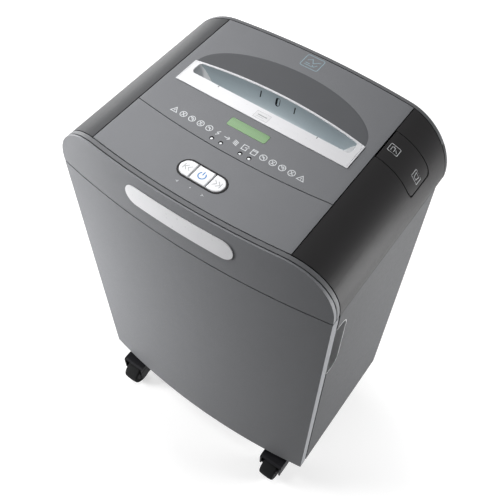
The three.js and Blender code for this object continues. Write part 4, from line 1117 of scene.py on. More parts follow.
def loft(name, rings):
    """A closed skin over level rings. Each ring is a height and its points, as many as the next has."""
    count = len(rings[0][1])
    bpy.ops.object.select_all(action="DESELECT")
    bpy.ops.mesh.primitive_circle_add(vertices=count, radius=1, fill_type="NGON")
    skin = named(name)
    for number, vertex in enumerate(skin.data.vertices):
        vertex.co = (number, 0, 0)
    bpy.ops.object.mode_set(mode="EDIT")
    bpy.ops.mesh.select_all(action="SELECT")
    for _ in rings[1:]:
        bpy.ops.mesh.extrude_region_move(TRANSFORM_OT_translate={"value": (0, 0, 1)})
    bpy.ops.object.mode_set(mode="OBJECT")
    for vertex in skin.data.vertices:
        z, points = rings[round(vertex.co.z)]
        vertex.co = place(*points[round(vertex.co.x)], z)
    bpy.ops.object.mode_set(mode="EDIT")
    bpy.ops.mesh.select_all(action="SELECT")
    bpy.ops.mesh.normals_make_consistent(inside=False)
    bpy.ops.object.mode_set(mode="OBJECT")
    return skin


def throat_rings(margin):
    """The back wall leaves the slot nearly level and curls up until it stands upright."""
    rings = []
    for i in range(THROAT_LEVELS + 1):
        turn = math.pi / 2 * i / THROAT_LEVELS
        rise, spread = 1 - math.cos(turn), math.sin(turn)
        half = SLOT_HALF + (BEZEL_HALF - BEZEL_END - SLOT_HALF) * rise + margin
        near = SLOT[0] + (LANDING - SLOT[0]) * rise - margin
        far = lambda x: SLOT[1] + (throat_back(x) - SLOT[1]) * spread + margin
        z = THROAT_FOOT + (COLLAR_TOP - THROAT_FOOT) * rise
        rings.append((z, throat_plan(half, near, far, 1.5 + 5 * rise + max(margin, 0))))
    return rings


def through(rings):
    """The same rings, carried on past both ends so that they cut right through."""
    (low, foot), (high, mouth) = rings[0], rings[-1]
    return [(low - 5, foot)] + rings + [(high + 5, mouth)]


def throat():
    """A funnel with a flange, and a thin collar that rises from the flange to the bezel."""
    shell = loft("throat", throat_rings(THROAT_WALL))
    cut(shell, block("above", (-HALF, HALF), (-20, BACK), (THROAT_TOP - 0.5, TOP + 5)))
    join(shell, prism("flange", bezel_plan(-3.2), "z", (THROAT_TOP - 2, THROAT_TOP)))
    join(shell, prism("collar", opening_plan(COLLAR), "z", (THROAT_TOP - 1, COLLAR_TOP)))
    return cut(shell, loft("cavity", through(throat_rings(0))))


# The throat's blue-grey colour is painted shade for the deep funnel.
dress(soften(throat(), 0.12, 2), "root", "throat_plastic", "throat_plastic", "feed_throat")


# %% Inserts on the throat's walls
def wall_insert(name, outline, proud=0.15):
    """A thin skin on the funnel's inner wall. Its outline is drawn as seen from the front."""
    insert = loft(name, throat_rings(0.3))
    cut(insert, loft("inside", through(throat_rings(-proud))))
    return keep(insert, prism("outline", outline, "y", (LANDING - 5, BEZEL_BACK + 5)))


def on_back_wall(piece):
    """Drop what lies on the front wall, and keep the back wall's part."""
    rear = (SLOT[1] + 1, BEZEL_BACK + 5)
    return keep(piece, block("rear", (-HALF, HALF), rear, (THROAT_FOOT - 5, TOP + 5)))


def end_cheek(side):
    """A pale cheek that covers the funnel's end and wraps a little onto the back wall."""
    outline = [(140, 1), (127.5, 1), (126, -3.5), (111.6, -20.6), (105, -28.5), (140, -28.5)]
    return wall_insert("cheek", [(side * x, TOP + z) for x, z in outline], 0.45)


cheeks = together("funnel_cheeks", [end_cheek(-1), end_cheek(1)])
dress(soften(cheeks, 0, 0), "root", "funnel_end", "throat_plastic")


def mark_outline(x, half_width, z0, z1):
    return rounded(x - half_width, x + half_width, z0, z1, half_width * 0.9, 6)


MARK_X = -4.5
MARK_STEP = 28
MARK_Z = (TOP - 15.2, TOP - 5.2)
edge_marks = [mark_outline(MARK_X + MARK_STEP * i, 0.9, *MARK_Z) for i in (-1, 1)]
window_frame = mark_outline(MARK_X, 3.7, MARK_Z[0] - 1.3, MARK_Z[1] + 0.8)
windows = [on_back_wall(wall_insert("mark", outline)) for outline in edge_marks + [window_frame]]
dress(soften(together("sensor_marks", windows), 0, 0), "root", "black_plastic", "black_plastic")
lens = on_back_wall(wall_insert("sensor_lens", mark_outline(MARK_X + 1.2, 1.5, *MARK_Z), 0.3))
dress(soften(lens, 0, 0), "root", "throat_plastic", "throat_plastic")

# %% Display window and signal lamps
window = prism("display_window", lcd_plan(0), "z", (TOP - SKIN, TOP + 0.2))
dress(soften(window, 0.2, 2), "root", "lcd", "lcd", "lcd_window")


def lamp(x):
    """One light guide: a bar with a domed head, a little below the panel in its hole, whose darkness is painted
    shade from a black sleeve.
    """
    guide = rod("lamp", LAMP, "z", (x, LED_Y - 0.4), (LAMP_FOOT, TOP - 0.1), 24)
    faces_where(guide, lambda c, n: n.z > 0.9 and c.z > TOP - 1)
    bpy.ops.mesh.bevel(offset=1.5 * MM, segments=5)
    bpy.ops.object.mode_set(mode="OBJECT")
    return guide


lamps = [lamp(x) for x in LED_XS]
bar_ends = (LED_XS[0] - 4, LED_XS[-1] + 4)
lamps.append(block("lamp_bar", bar_ends, (LED_Y - 3.5, LED_Y + 3.5), (LAMP_FOOT - 0.1, LAMP_FOOT + 1.9)))
dress(soften(together("signal_lamps", lamps), 0, 0), "root", "clear_guide", "clear_guide", "led_light_guide")
# Black sleeves in the lamp holes are painted shade: they stand for the shade inside each recess round a lamp.
hole_shades = []
for x in LED_XS:
    hole_shade = rod("hole_shade", LED_HOLE - 0.05, "z", (x, LED_Y), (TOP - 8, TOP - 0.1), 32)
    hole_shades.append(cut(hole_shade, rod("bore", 2.75, "z", (x, LED_Y), (TOP - 9, TOP + 1), 32)))
dress(soften(together("lamp_hole_shade", hole_shades), 0, 0), "root", "black_plastic", "black_plastic")

# %% [markdown]
# ## Shoulders
# Both shoulders are the curved sides of the head block. The right one holds a small compartment under
# a hinged lid. Its pocket and the lid's opening are cut with the same outline, which is grown by one
# seam, so that the gap round the lid is even.

# %% Shoulders
LID_Y = (42.5, 99)
LID_CORNER = 7
LID_EDGE = HALF - 8.3
PIVOT = (PANEL_SEAM_X + 4.7, TOP - 3.5)
BARREL = 3.5
LID_PIN = 1.5
POCKET = (PANEL_SEAM_X + 10, HALF - 14)
POCKET_FLOOR = SEAM_Z + 17
SILL = SEAM_Z + 43
SHOULDER_EDGE = PANEL_SEAM_X + SEAM / 2


def lid_plan(grow):
    """The lid's outline, or a line that far outside it."""
    near, far = LID_Y[0] + SEAM - grow, LID_Y[1] - SEAM + grow
    x, r = LID_EDGE - SEAM + grow - LID_CORNER, LID_CORNER
    plan = [(PIVOT[0], near)]
    plan += arc(x, near + r, r, r, -90, 0, 10)
    plan += arc(x, far - r, r, r, 0, 90, 10)
    return plan + [(PIVOT[0], far)]


def right_shoulder():
    cover = head_cover("right_cover", SHOULDER_EDGE, HALF, COVER_FRONT, COVER_REAR)
    left = PANEL_SEAM_X + 1.9
    y0, y1 = LID_Y[0] - 2, LID_Y[1] + 2
    box = block("pocket_box", (left, POCKET[1] + 2), (y0, y1), (POCKET_FLOOR - 2, TOP))
    join(cover, keep(box, head_hollow(SKIN - 0.5)))
    cut(cover, block("pocket", POCKET, (y0 + 3, y1 - 3), (POCKET_FLOOR, TOP + 5)))
    rebate = prism("rebate", lid_plan(SEAM), "z", (SILL, TOP + 5))
    cut(cover, cut(rebate, head_hollow(SKIN + FIT)))
    hinge_room = block("hinge_room", (left - 5, POCKET[0] + 0.1), LID_Y, (PIVOT[1] - 5.5, TOP + 5))
    cut(cover, hinge_room)
    return cut(cover, rod("pin_hole", LID_PIN + 0.4, "y", PIVOT, (y0 + 0.4, y1 - 0.4), 24))


left_cover = head_cover("left_cover", -HALF, -SHOULDER_EDGE, COVER_FRONT, COVER_REAR)
dress(soften(left_cover, 0.5, 2), "root", "charcoal_shell", "charcoal_shell", "left_shoulder")
dress(soften(right_shoulder(), 0.5, 2), "root", "dark_shell", "dark_shell", "right_shoulder")


def compartment_lid():
    lid = prism("lid", lid_plan(0), "z", (SILL + SEAM, TOP + 5))
    keep(lid, head_block())
    cut(lid, head_hollow())
    barrel = rod("barrel", BARREL, "y", PIVOT, (LID_Y[0] + SEAM, LID_Y[1] - SEAM))
    join(lid, keep(barrel, head_block()))
    return join(lid, rod("pins", LID_PIN, "y", PIVOT, (LID_Y[0] - 1.2, LID_Y[1] + 1.2), 24))


dress(soften(compartment_lid(), 0.45, 2), "lid", "dark_shell", "dark_shell", "compartment_lid")

# %% [markdown]
# ## The rear of the head
# The rear cover is a thin bowed wall. A flat shelf is let into it for the mains inlet and the rocker
# switch, because both need a flat face, and twelve upright slots let the motor's warm air out.

# %% Rear cover
INLET_X = HALF - 97
SWITCH_X = INLET_X - 36
MAINS_Z = TOP - 53
MAINS = (SWITCH_X - 16, INLET_X + 22)
MAINS_Y = rear_y(MAINS[1], 3.4)
INLET = (13.7, 10)
SWITCH = (7, 10.5)
VENTS = 12
VENT_PITCH = 14
VENT_START = 75 - HALF


def rear_cover():
    plan = between(-HALF, HALF, rear_line(REAR - SEAM / 2), rear_y)
    wall = prism("rear_cover_skin", plan, "z", (HEAD_BOTTOM, TOP + 1))
    keep(wall, head_block())
    low, high = MAINS_Z - 18, MAINS_Z + 18
    backing_y = (MAINS_Y - 4, rear_y(MAINS[1]) - 1)
    join(wall, block("backing", (MAINS[0] - 2, MAINS[1] + 2), backing_y, (low - 2, high + 2)))
    cut(wall, prism("mains_pocket", rounded(*MAINS, low, high, 4), "y", (MAINS_Y, FAR)))
    for x, (half_x, half_z) in ((INLET_X, INLET), (SWITCH_X, SWITCH)):
        xs = (x - half_x - FIT, x + half_x + FIT)
        zs = (MAINS_Z - half_z - FIT, MAINS_Z + half_z + FIT)
        cut(wall, block("hole", xs, (MAINS_Y - 10, MAINS_Y + 10), zs))
    for i in range(VENTS):
        x = VENT_START + VENT_PITCH * i
        slot = rounded(x - 2, x + 2, MAINS_Z - 17, MAINS_Z + 23, 1.9, 5)
        cut(wall, prism("vent", slot, "y", (130, FAR)))
    return wall


back_wall = dress(soften(rear_cover(), 0.6, 2), "root", "charcoal_shell", "dark_shell", "rear_cover")
# Painted light: the rear cover's faces that look up take the paler band grey, as if lit from above.
paint_faces(back_wall, "band_grey_and_rim_light", lambda c, n: n.z > 0.6)


# %% Mains inlet and rocker switch
def fitting(name, x, half_x, half_z, depth):
    """A flange that lies on the shelf, and a body that goes through it."""
    edge_x, edge_z = half_x + 1.5, half_z + 1.5
    flange = rounded(x - edge_x, x + edge_x, MAINS_Z - edge_z, MAINS_Z + edge_z, 2, 6)
    piece = prism(name, flange, "y", (MAINS_Y + FIT, MAINS_Y + 2))
    zs = (MAINS_Z - half_z, MAINS_Z + half_z)
    return join(piece, block("body", (x - half_x, x + half_x), (MAINS_Y - depth, MAINS_Y + 1), zs))


def mains_inlet():
    x, z = INLET_X, MAINS_Z
    inlet = fitting("power_inlet", x, *INLET, 18)
    corner = [(x + 12, z + 3), (x + 7.5, z + 8), (x - 7.5, z + 8), (x - 12, z + 3)]
    mouth = [(x - 12, z - 8), (x + 12, z - 8)] + corner
    return cut(inlet, prism("mouth", mouth, "y", (MAINS_Y - 15, MAINS_Y + 5)))


def inlet_blades():
    blades = []
    for dx, dz in ((-7, -2), (0, 2), (7, -2)):
        x, z = INLET_X + dx, MAINS_Z + dz
        blades.append(block("blade", (x - 1, x + 1), (MAINS_Y - 16, MAINS_Y - 2), (z - 2, z + 2)))
    return together("inlet_blades", blades)


dress(soften(mains_inlet(), 0.4, 2), "root", "black_plastic", "black_plastic", "mains_inlet")
dress(soften(inlet_blades(), 0.4, 2), "root", "zinc_steel", "zinc_steel")


def switch_body():
    half_x, half_z = SWITCH
    body = fitting("switch_frame", SWITCH_X, half_x, half_z, 16)
    xs = (SWITCH_X - half_x + 1.5, SWITCH_X + half_x - 1.5)
    zs = (MAINS_Z - half_z + 1, MAINS_Z + half_z - 1)
    return cut(body, block("well", xs, (MAINS_Y - 12, MAINS_Y + 5), zs))


dress(soften(switch_body(), 0.4, 2), "root", "black_plastic", "black_plastic", "mains_switch_body")


def rocker_cap():
    """The rocker's face is a shallow dish. It is drawn from the side and tilted to its OFF place."""
    face = [(5.2 - 2.6 * (1 - (z / 7.6) ** 2) * 0.77, z) for z in [7.6 - 0.95 * i for i in range(17)]]
    outline = [(-4, 5), (2.5, 8.2), (4.4, 8.3)] + face + [(4.4, -8.3), (2.5, -8.2), (-4, -5)]
    tilt = math.radians(8)
    c, s = math.cos(tilt), math.sin(tilt)
    turned = [(y * c - z * s, y * s + z * c) for y, z in outline]
    placed = [(MAINS_Y - 3 + y, MAINS_Z + z) for y, z in turned]
    return prism("rocker_cap", placed, "x", (SWITCH_X - 5.1, SWITCH_X + 5.1))


rocker = soften(rocker_cap(), 0.4, 3)
dress(rocker, "rocker", "black_plastic", "black_plastic", "mains_rocker")

# %% [markdown]
# ## Casters
# Each caster has a steel plate with a stem, a black hood that is its fork as well, and a wide wheel.
# The caster is drawn once round its stem and copied to the four corners, each copy with its own mesh.
# The hood's outline is drawn from the side, extruded across and hollowed to a channel for the wheel.

# %% Caster parts
STEM_X = HALF - 53
STEM_YS = {"front": -126, "rear": 108}
WHEEL_R = 25
TRAIL = 35.5
HOOD_TOP = 65
HOOD_HALF = 23.5
HOOD_INNER = HOOD_HALF - 3.2
NOSE = -TRAIL - 10
AXLE = (-TRAIL, WHEEL_R)
PIN = 3.5
PLATE_TOP = 68 - FIT


def wheel_disc(name, radius, span):
    """A disc round the axle, to cut the hood with."""
    return prism(name, arc(*AXLE, radius, radius, 0, 360, 64)[:-1], "x", span)


def caster_hood():
    """The outline is drawn from the side. A round step on each cheek follows the wheel."""
    inner = (-HOOD_INNER, HOOD_INNER)
    outline = [(15, HOOD_TOP), (NOSE + 6, HOOD_TOP)]
    outline += arc(NOSE + 6, HOOD_TOP - 6, 6, 6, 100, 180, 8)
    outline += [(NOSE, 28.5), (-TRAIL / 2, 28.5), (15, HOOD_TOP - 22)]
    hood = prism("hood", outline, "x", (-HOOD_HALF, HOOD_HALF))
    for edge in (-1, 1):
        cheek = sorted((edge * (HOOD_HALF - 0.8), edge * (HOOD_HALF + 1)))
        cut(hood, cut(wheel_disc("step", WHEEL_R + 6, cheek), wheel_disc("band", WHEEL_R + 4.5, cheek)))
    cut(hood, rod("room", WHEEL_R + 3, "x", AXLE, inner, 64))
    cut(hood, block("front_room", inner, (NOSE - 1, -TRAIL), (-5, HOOD_TOP - 3.2)))
    cut(hood, block("below", inner, (-TRAIL - 1, -7), (-5, WHEEL_R + 12)))
    cut(hood, rod("stem_bore", PIN + 0.8, "z", (0, 0), (HOOD_TOP - 18, HOOD_TOP + 1)))
    for edge in (-1, 1):
        span = sorted((edge * 16.2, edge * (HOOD_INNER + 1)))
        join(hood, rod("lug", PIN + 2.5, "x", AXLE, span))
    return join(hood, rod("axle", PIN, "x", AXLE, (-HOOD_INNER - 1, HOOD_INNER + 1)))


def turned_ring(name, profile):
    """A ring turned on the wheel's axle. The profile holds distances along the axle and radii."""
    bpy.ops.object.select_all(action="DESELECT")
    bpy.ops.mesh.primitive_circle_add(vertices=len(profile), radius=1)
    ring = named(name)
    for vertex, (x, radius) in zip(ring.data.vertices, profile):
        vertex.co = place(x, -TRAIL, WHEEL_R + radius)
    bpy.ops.object.mode_set(mode="EDIT")
    bpy.ops.mesh.select_all(action="SELECT")
    bpy.ops.mesh.spin(steps=72, angle=math.tau, center=place(0, *AXLE), axis=(1, 0, 0))
    bpy.ops.mesh.select_all(action="SELECT")
    bpy.ops.mesh.remove_doubles(threshold=0.005 * MM)
    bpy.ops.mesh.normals_make_consistent(inside=False)
    bpy.ops.object.mode_set(mode="OBJECT")
    return ring


def caster_tread():
    """The tread is a little crowned, with round shoulders and a dished side."""
    crown = [(x, WHEEL_R - 0.7 * (x / 12) ** 2) for x in (-12, -8, -4, 0, 4, 8, 12)]
    right = arc(12, WHEEL_R - 4.2, 3.5, 3.5, 90, 0, 6)[1:]
    left = arc(-12, WHEEL_R - 4.2, 3.5, 3.5, 180, 90, 6)[:-1]
    bead = [(15.5, 18), (13.6, 17.2), (13.6, 16)]
    return turned_ring("tread", left + crown + right + bead + [(-x, r) for x, r in reversed(bead)])


def caster_hub():
    """The hub is a black disc with a raised boss and a ring groove."""
    disc = [(13.6, 16.1), (14.2, 15.2), (14.2, 12), (12.6, 11.2)]
    boss = [(12.6, 8.4), (14.6, 7.6), (15.4, 6.8), (15.4, PIN + 0.4)]
    return turned_ring("hub", disc + boss + [(-x, r) for x, r in reversed(disc + boss)])


def caster_plate():
    plate = prism("plate", rounded(-24, 24, -20, 20, 5), "z", (PLATE_TOP - 2.2, PLATE_TOP))
    return join(plate, rod("stem", PIN, "z", (0, 0), (HOOD_TOP - 16, PLATE_TOP - 1), 24))


CASTER_PARTS = {
    "plate": (soften(caster_plate(), 0.5, 2), "zinc_steel", "zinc_steel"),
    "hood": (soften(caster_hood(), 0.9, 3), "black_plastic", "black_plastic"),
    "tread": (soften(caster_tread(), 0, 0), "wheel_rubber", "wheel_rubber"),
    "hub": (soften(caster_hub(), 0.25, 2), "black_plastic", "black_plastic"),
}


def put_caster(corner, x, y):
    wheel = corner + "_wheel"
    bodies = {"plate": "root", "hood": corner + "_swivel", "tread": wheel, "hub": wheel}
    stands_for = {"plate": ["_caster_plate"], "hood": ["_caster_hood"], "tread": ["_caster_wheel"], "hub": []}
    for part, (pattern, finish, slot) in CASTER_PARTS.items():
        piece = copy_of(pattern, corner + "_" + part)
        piece.data.transform(Matrix.Translation((x * MM, y * MM, 0)))
        dress(piece, bodies[part], finish, slot, *(corner + ending for ending in stands_for[part]))


for end, stem_y in STEM_YS.items():
    for side, stem_x in (("left", -STEM_X), ("right", STEM_X)):
        put_caster(end + "_" + side, stem_x, stem_y)
for pattern, _, _ in CASTER_PARTS.values():
    bpy.data.objects.remove(pattern)

# %% [markdown]
# ## Cabinet back, base and sheet metal
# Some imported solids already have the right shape: flat boards, folded sheets, plates and spur gears.
# A copy of such a solid is merged, its edges are broken and its round faces are shaded smooth.

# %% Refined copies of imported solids
REFINED = {
    "base_board": ("cabinet_base", "black_plastic", "black_plastic", 0.5),
    "back_panel": ("cabinet_back", "charcoal_shell", "charcoal_shell", 0.4),
    "head_chassis": ("head_tray", "black_plastic", "black_plastic", 0),
    "door_strike": ("strike_plate", "zinc_steel", "zinc_steel", 0.3),
    "door_magnet": ("catch_magnet", "black_plastic", "black_plastic", 0.6),
    "door_switch": ("interlock_switch", "black_plastic", "black_plastic", 0.3),
    "left_cutter_plate": ("left_plate", "zinc_steel", "zinc_steel", 0.4),
    "right_cutter_plate": ("right_plate", "zinc_steel", "zinc_steel", 0.4),
    "gearbox_cover": ("gearbox_plate", "zinc_steel", "zinc_steel", 0.4),
    "front_stripper_comb": ("front_comb", "black_plastic", "black_plastic", 0),
    "rear_stripper_comb": ("rear_comb", "black_plastic", "black_plastic", 0),
    "drive_motor": ("motor", "zinc_steel", "zinc_steel", 0.8),
    "control_board": ("key_board", "board_resin", "circuit_board", 0),
    "display_board": ("lamp_board", "board_resin", "circuit_board", 0),
    "front_sync_gear": ("front_gear", "cutter_steel", "cutter_steel", 0.25),
    "rear_sync_gear": ("rear_gear", "cutter_steel", "cutter_steel", 0.25),
    "drive_gear": ("large_gear", "cutter_steel", "cutter_steel", 0.25),
    "compound_gear": ("double_gear", "cutter_steel", "cutter_steel", 0.25),
    "motor_pinion": ("small_gear", "cutter_steel", "cutter_steel", 0.25),
}


def body_of_node(node):
    return next(body for body, nodes in frame["record"]["behaviour"]["bodies"].items() if node in nodes)


def refine(node, name, edge):
    piece = copy_of(frame["nodes"][node], name)
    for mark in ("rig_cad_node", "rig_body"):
        del piece[mark]
    piece.parent = None
    return soften(piece, edge, 2, 40)


for node, (name, finish, slot, edge) in REFINED.items():
    dress(refine(node, name, edge), body_of_node(node), finish, slot, node)

# %% [markdown]
# ## Cutters
# Two hardened shafts turn towards each other. Each carries eighteen hooked discs that reach into the
# gaps of the other shaft, and each disc is turned a little further than its neighbour, so that only a
# few teeth bite at a time. One disc is modelled and copied along the shaft.

# %% Cutter shafts
SHAFT_Z = TOP - 53
DISC_R = 20
TOOTH = 3.2
PITCH = 13.4
DISC_HALF = 3.15
PLATE_X = HALF - 94
DISCS = math.floor((2 * PLATE_X - PITCH / 2) / PITCH) - 1
FIRST_DISC = -(DISCS - 0.5) * PITCH / 2


def hooked_disc(y, turn):
    """Five hooks: a steep front face and a long curved back that runs down to the next hook."""
    outline = []
    for tooth in range(5):
        start = turn + tooth * math.tau / 5
        outline.append((DISC_R - TOOTH, start))
        for i in range(7):
            share = i / 7
            angle = start + 0.16 + (math.tau / 5 - 0.16) * share
            outline.append((DISC_R - TOOTH * share * (2 - share) * 0.97, angle))
    points = [(y + r * math.cos(a), SHAFT_Z + r * math.sin(a)) for r, a in outline]
    return prism("disc", points, "x", (-DISC_HALF, DISC_HALF))


def cutter_shaft(name, y, left_end, first, direction):
    parts = [rod(name, 14, "x", (y, SHAFT_Z), (-PLATE_X + 0.6, PLATE_X - 0.6), 48)]
    parts.append(rod("journals", 8, "x", (y, SHAFT_Z), (left_end, PLATE_X + 8), 32))
    for i in range(DISCS):
        disc = hooked_disc(y, direction * i * 0.21)
        disc.data.transform(Matrix.Translation(((first + i * PITCH) * MM, 0, 0)))
        parts.append(disc)
    return soften(together(name, parts), 0.2, 1, 30)


front_left_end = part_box("front_cutter_shaft")[0].x / MM
rear_left_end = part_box("rear_cutter_shaft")[0].x / MM
front_roll = cutter_shaft("front_cutters", 16, front_left_end, FIRST_DISC, 1)
dress(front_roll, "front_cutters", "cutter_steel", "cutter_steel", "front_cutter_shaft")
rear_roll = cutter_shaft("rear_cutters", 52, rear_left_end, FIRST_DISC + PITCH / 2, -1)
dress(rear_roll, "rear_cutters", "cutter_steel", "cutter_steel", "rear_cutter_shaft")

# %% [markdown]
# ## Printed marks
# The panels carry small printed signs. They are plain shapes with no lettering: rings, bars, arrows
# and open squares. Each sign is drawn as lines with a width. A line's two sides are found by moving
# its points sideways, with mitred corners, and the strip between them is raised to a film of ink.

# %% Tools for printed lines
INK = 0.1
INK_ROOT = 0.3
INK_STEP = 2.0


def sideways(points, distance, closed):
    """The points of a line, moved to its left by a distance. Corners are mitred."""
    count = len(points)
    steps = [Vector(points[(i + 1) % count]) - Vector(points[i]) for i in range(count)]
    lefts = [Vector((-step.y, step.x)).normalized() for step in steps]
    if not closed:
        lefts[-1] = lefts[-2]
    moved = []
    for i, point in enumerate(points):
        before = lefts[i - 1] if closed or i else lefts[0]
        mitre = (before + lefts[i]).normalized()
        moved.append(tuple(Vector(point) + mitre * (distance / mitre.dot(lefts[i]))))
    return moved


def dense(points, closed):
    """The same line with more points, so that it can follow a curved surface."""
    filled = []
    ends = points[1:] + points[:1] if closed else points[1:]
    for start, end in zip(points, ends):
        a, b = Vector(start), Vector(end)
        parts = max(1, math.ceil((b - a).length / INK_STEP))
        filled += [tuple(a.lerp(b, i / parts)) for i in range(parts)]
    return filled if closed else filled + [points[-1]]


def printed(points, width, closed=False, z=TOP):
    """One printed line. A closed line runs anticlockwise, so its left side is the inner one."""
    points = dense(points, closed)
    left = sideways(points, width / 2, closed)
    right = sideways(points, -width / 2, closed)
    film = (z - INK_ROOT, z + INK)
    if not closed:
        return prism("line", right + left[::-1], "z", film)
    return cut(prism("line", right, "z", film), prism("inside", left, "z", (z - 1, z + 1)))


def moved_to(x, y, points):
    return [(x + px, y + py) for px, py in points]


def dot(x, y, radius):
    return rod("dot", radius, "z", (x, y), (TOP - INK_ROOT, TOP + INK), 20)


# %% [markdown]
# Fifteen signs stand in a row in front of the display: a triangle at each end, four struck-out rings
# beside each, and five small pictures of sheets and arrows in the middle. A sign is a list of strokes
# round its own centre, so the row is one loop over their names.

# %% The row of signs
SIGN_Y = -44.4
SIGN_PITCH = 14.42
SIGN_LINE = 1.0
RING = arc(0, 0, 4.7, 4.7, 0, 360, 28)[:-1]
SLASH = [(-3.2, 3.2), (3.2, -3.2)]
TRIANGLE = [(-4.9, -3.6), (4.9, -3.6), (0, 4.6)]
SHEET = [(-3.6, -4.2), (3.6, -4.2), (3.6, 4.2), (-3.6, 4.2)]
# Each sign holds its closed outlines and its open strokes.
SIGNS = {
    "triangle": ([TRIANGLE], [[(0, -1.9), (0, 1.2)]]),
    "ring_bar": ([RING], [SLASH, [(-1.6, -2.6), (1.6, 2.6)]]),
    "ring_hook": ([RING], [SLASH, arc(0.3, 0, 2.2, 2.2, -60, 120, 6)]),
    "ring_step": ([RING], [SLASH, [(-2.2, -1.8), (0, -1.8), (0, 1.8), (2.2, 1.8)]]),
    "ring_wave": ([RING], [SLASH, arc(0, -1.6, 2.6, 2.6, 30, 150, 6)]),
    "bolt": ([], [[(1.8, 4.2), (-1.6, 0.6), (1.6, -0.6), (-1.8, -4.2)]]),
    "arrow": ([], [[(-4.2, 0), (4.2, 0)], [(1.2, 2.6), (4.2, 0), (1.2, -2.6)]]),
    "stack": ([], [[(-3.4, y), (3.4, y - 2.2)] for y in (3.8, 1.8, -0.2, -2.2)]),
    "sheet_out": ([SHEET], [[(0, 0), (5.2, 1.6)], [(3.4, 3.2), (5.2, 1.6), (3.6, -0.4)]]),
    "sheet_bar": ([SHEET], [[(-3.2, 2.2), (3.2, 2.2)]]),
}
HALF_ROW = ["triangle", "ring_bar", "ring_hook", "ring_step", "ring_wave"]
ROW = HALF_ROW + ["bolt", "arrow", "stack", "sheet_out", "sheet_bar"] + HALF_ROW[::-1]


def sign(name, x, y):
    outlines, strokes = SIGNS[name]
    closed = [printed(moved_to(x, y, points), SIGN_LINE, True) for points in outlines]
    return closed + [printed(moved_to(x, y, points), SIGN_LINE) for points in strokes]


signs = []
for place_in_row, name in enumerate(ROW):
    signs += sign(name, SIGN_PITCH * (place_in_row - (len(ROW) - 1) / 2), SIGN_Y)
dress(soften(together("panel_signs", signs), 0, 0), "root", "white_ink", "satin_panel")

# %% Rear sign and key captions
REAR_SIGN = (-3.7, 142.5)
REAR_LINE = 1.2
sheet_fold = [(-9, 1.5), (-3, 6.5), (1.5, -1), (6, 3), (11, 6)]
text_lines = [[(-9.5, -4), (-2, -4)], [(-9.5, -7.5), (4, -7.5)]]
tick_mark = [(2, -4), (5.5, -7), (9, -1.5)]
rear_strokes = [printed(moved_to(*REAR_SIGN, rounded(-14.2, 14.2, -12.4, 12.4, 3, 5)), REAR_LINE, True)]
for stroke in [sheet_fold] + text_lines + [tick_mark]:
    rear_strokes.append(printed(moved_to(*REAR_SIGN, stroke), REAR_LINE))
dress(soften(together("rear_sign", rear_strokes), 0, 0), "root", "haze_ink", "satin_panel")

captions = [dot(-0.9, -138, 0.7), dot(-22.6, -138.7, 0.45), dot(20.2, -138.8, 0.45)]
captions.append(printed([(-19.6, -140.2), (-21.4, -138.7), (-19.6, -137.2)], 0.6))
captions.append(printed([(17.2, -140.3), (19, -138.8), (17.2, -137.3)], 0.6))
dress(soften(together("key_captions", captions), 0, 0), "root", "white_ink", "satin_panel")

# %% Signs on the keys
POWER_LINE = 1.5
CHEVRON_LINE = 0.9
CHEVRON = (2.2, 4.4)
POWER_RING = arc(0, -0.6, 5.2, 5.2, 125, 415, 28)
power_marks = [printed(moved_to(0, KEYS_Y, POWER_RING), POWER_LINE, False, KEY_TOP)]
power_marks.append(printed([(0, KEYS_Y + 0.2), (0, KEYS_Y + 6.6)], POWER_LINE, False, KEY_TOP))
dress(soften(together("power_mark", power_marks), 0, 0), "power_key", "blue_ink", "button_plastic")


def chevrons(name, x, direction, body):
    """Two chevrons that point the same way, and a bar in front of them."""
    reach, rise = CHEVRON[0] * direction, CHEVRON[1]
    shape = [(reach, rise), (-reach, 0), (reach, -rise)]
    marks = [printed(moved_to(x + dx, KEYS_Y, shape), CHEVRON_LINE, False, KEY_TOP) for dx in (-2.6, 2.6)]
    bar_x = x - 6 * direction
    marks.append(printed([(bar_x, KEYS_Y - rise), (bar_x, KEYS_Y + rise)], CHEVRON_LINE, False, KEY_TOP))
    dress(soften(together(name, marks), 0, 0), body, "grey_ink", "button_plastic")


chevrons("reverse_mark", -22.5, 1, "reverse_key")
chevrons("forward_mark", 22.5, -1, "forward_key")

# %% [markdown]
# Two small framed signs lie on the compartment's lid, which is curved. They are drawn flat over it and
# every point is then dropped onto the shoulder's ellipse.

# %% Signs on the lid
LID_LINE = 0.7


def shoulder_z(x):
    """Height of the shoulder's surface at x."""
    share = (x - SHOULDER_X) / (HALF - SHOULDER_X)
    return SHOULDER_Z + (TOP - SHOULDER_Z) * math.sqrt(max(0, 1 - share * share))


def drop_onto_shoulder(mark):
    for vertex in mark.data.vertices:
        x, y, z = drawing(vertex.co)
        vertex.co = place(x, y, shoulder_z(x) + z - TOP)
    return mark


def framed_sign(name, x, y, half_x, half_y, strokes):
    frame_line = rounded(-half_x, half_x, -half_y, half_y, 1, 3)
    lines = [printed(moved_to(x, y, frame_line), LID_LINE, True)]
    for stroke in strokes:
        scaled = [(px * half_x, py * half_y) for px, py in stroke]
        lines.append(printed(moved_to(x, y, scaled), LID_LINE))
    return drop_onto_shoulder(together(name, lines))


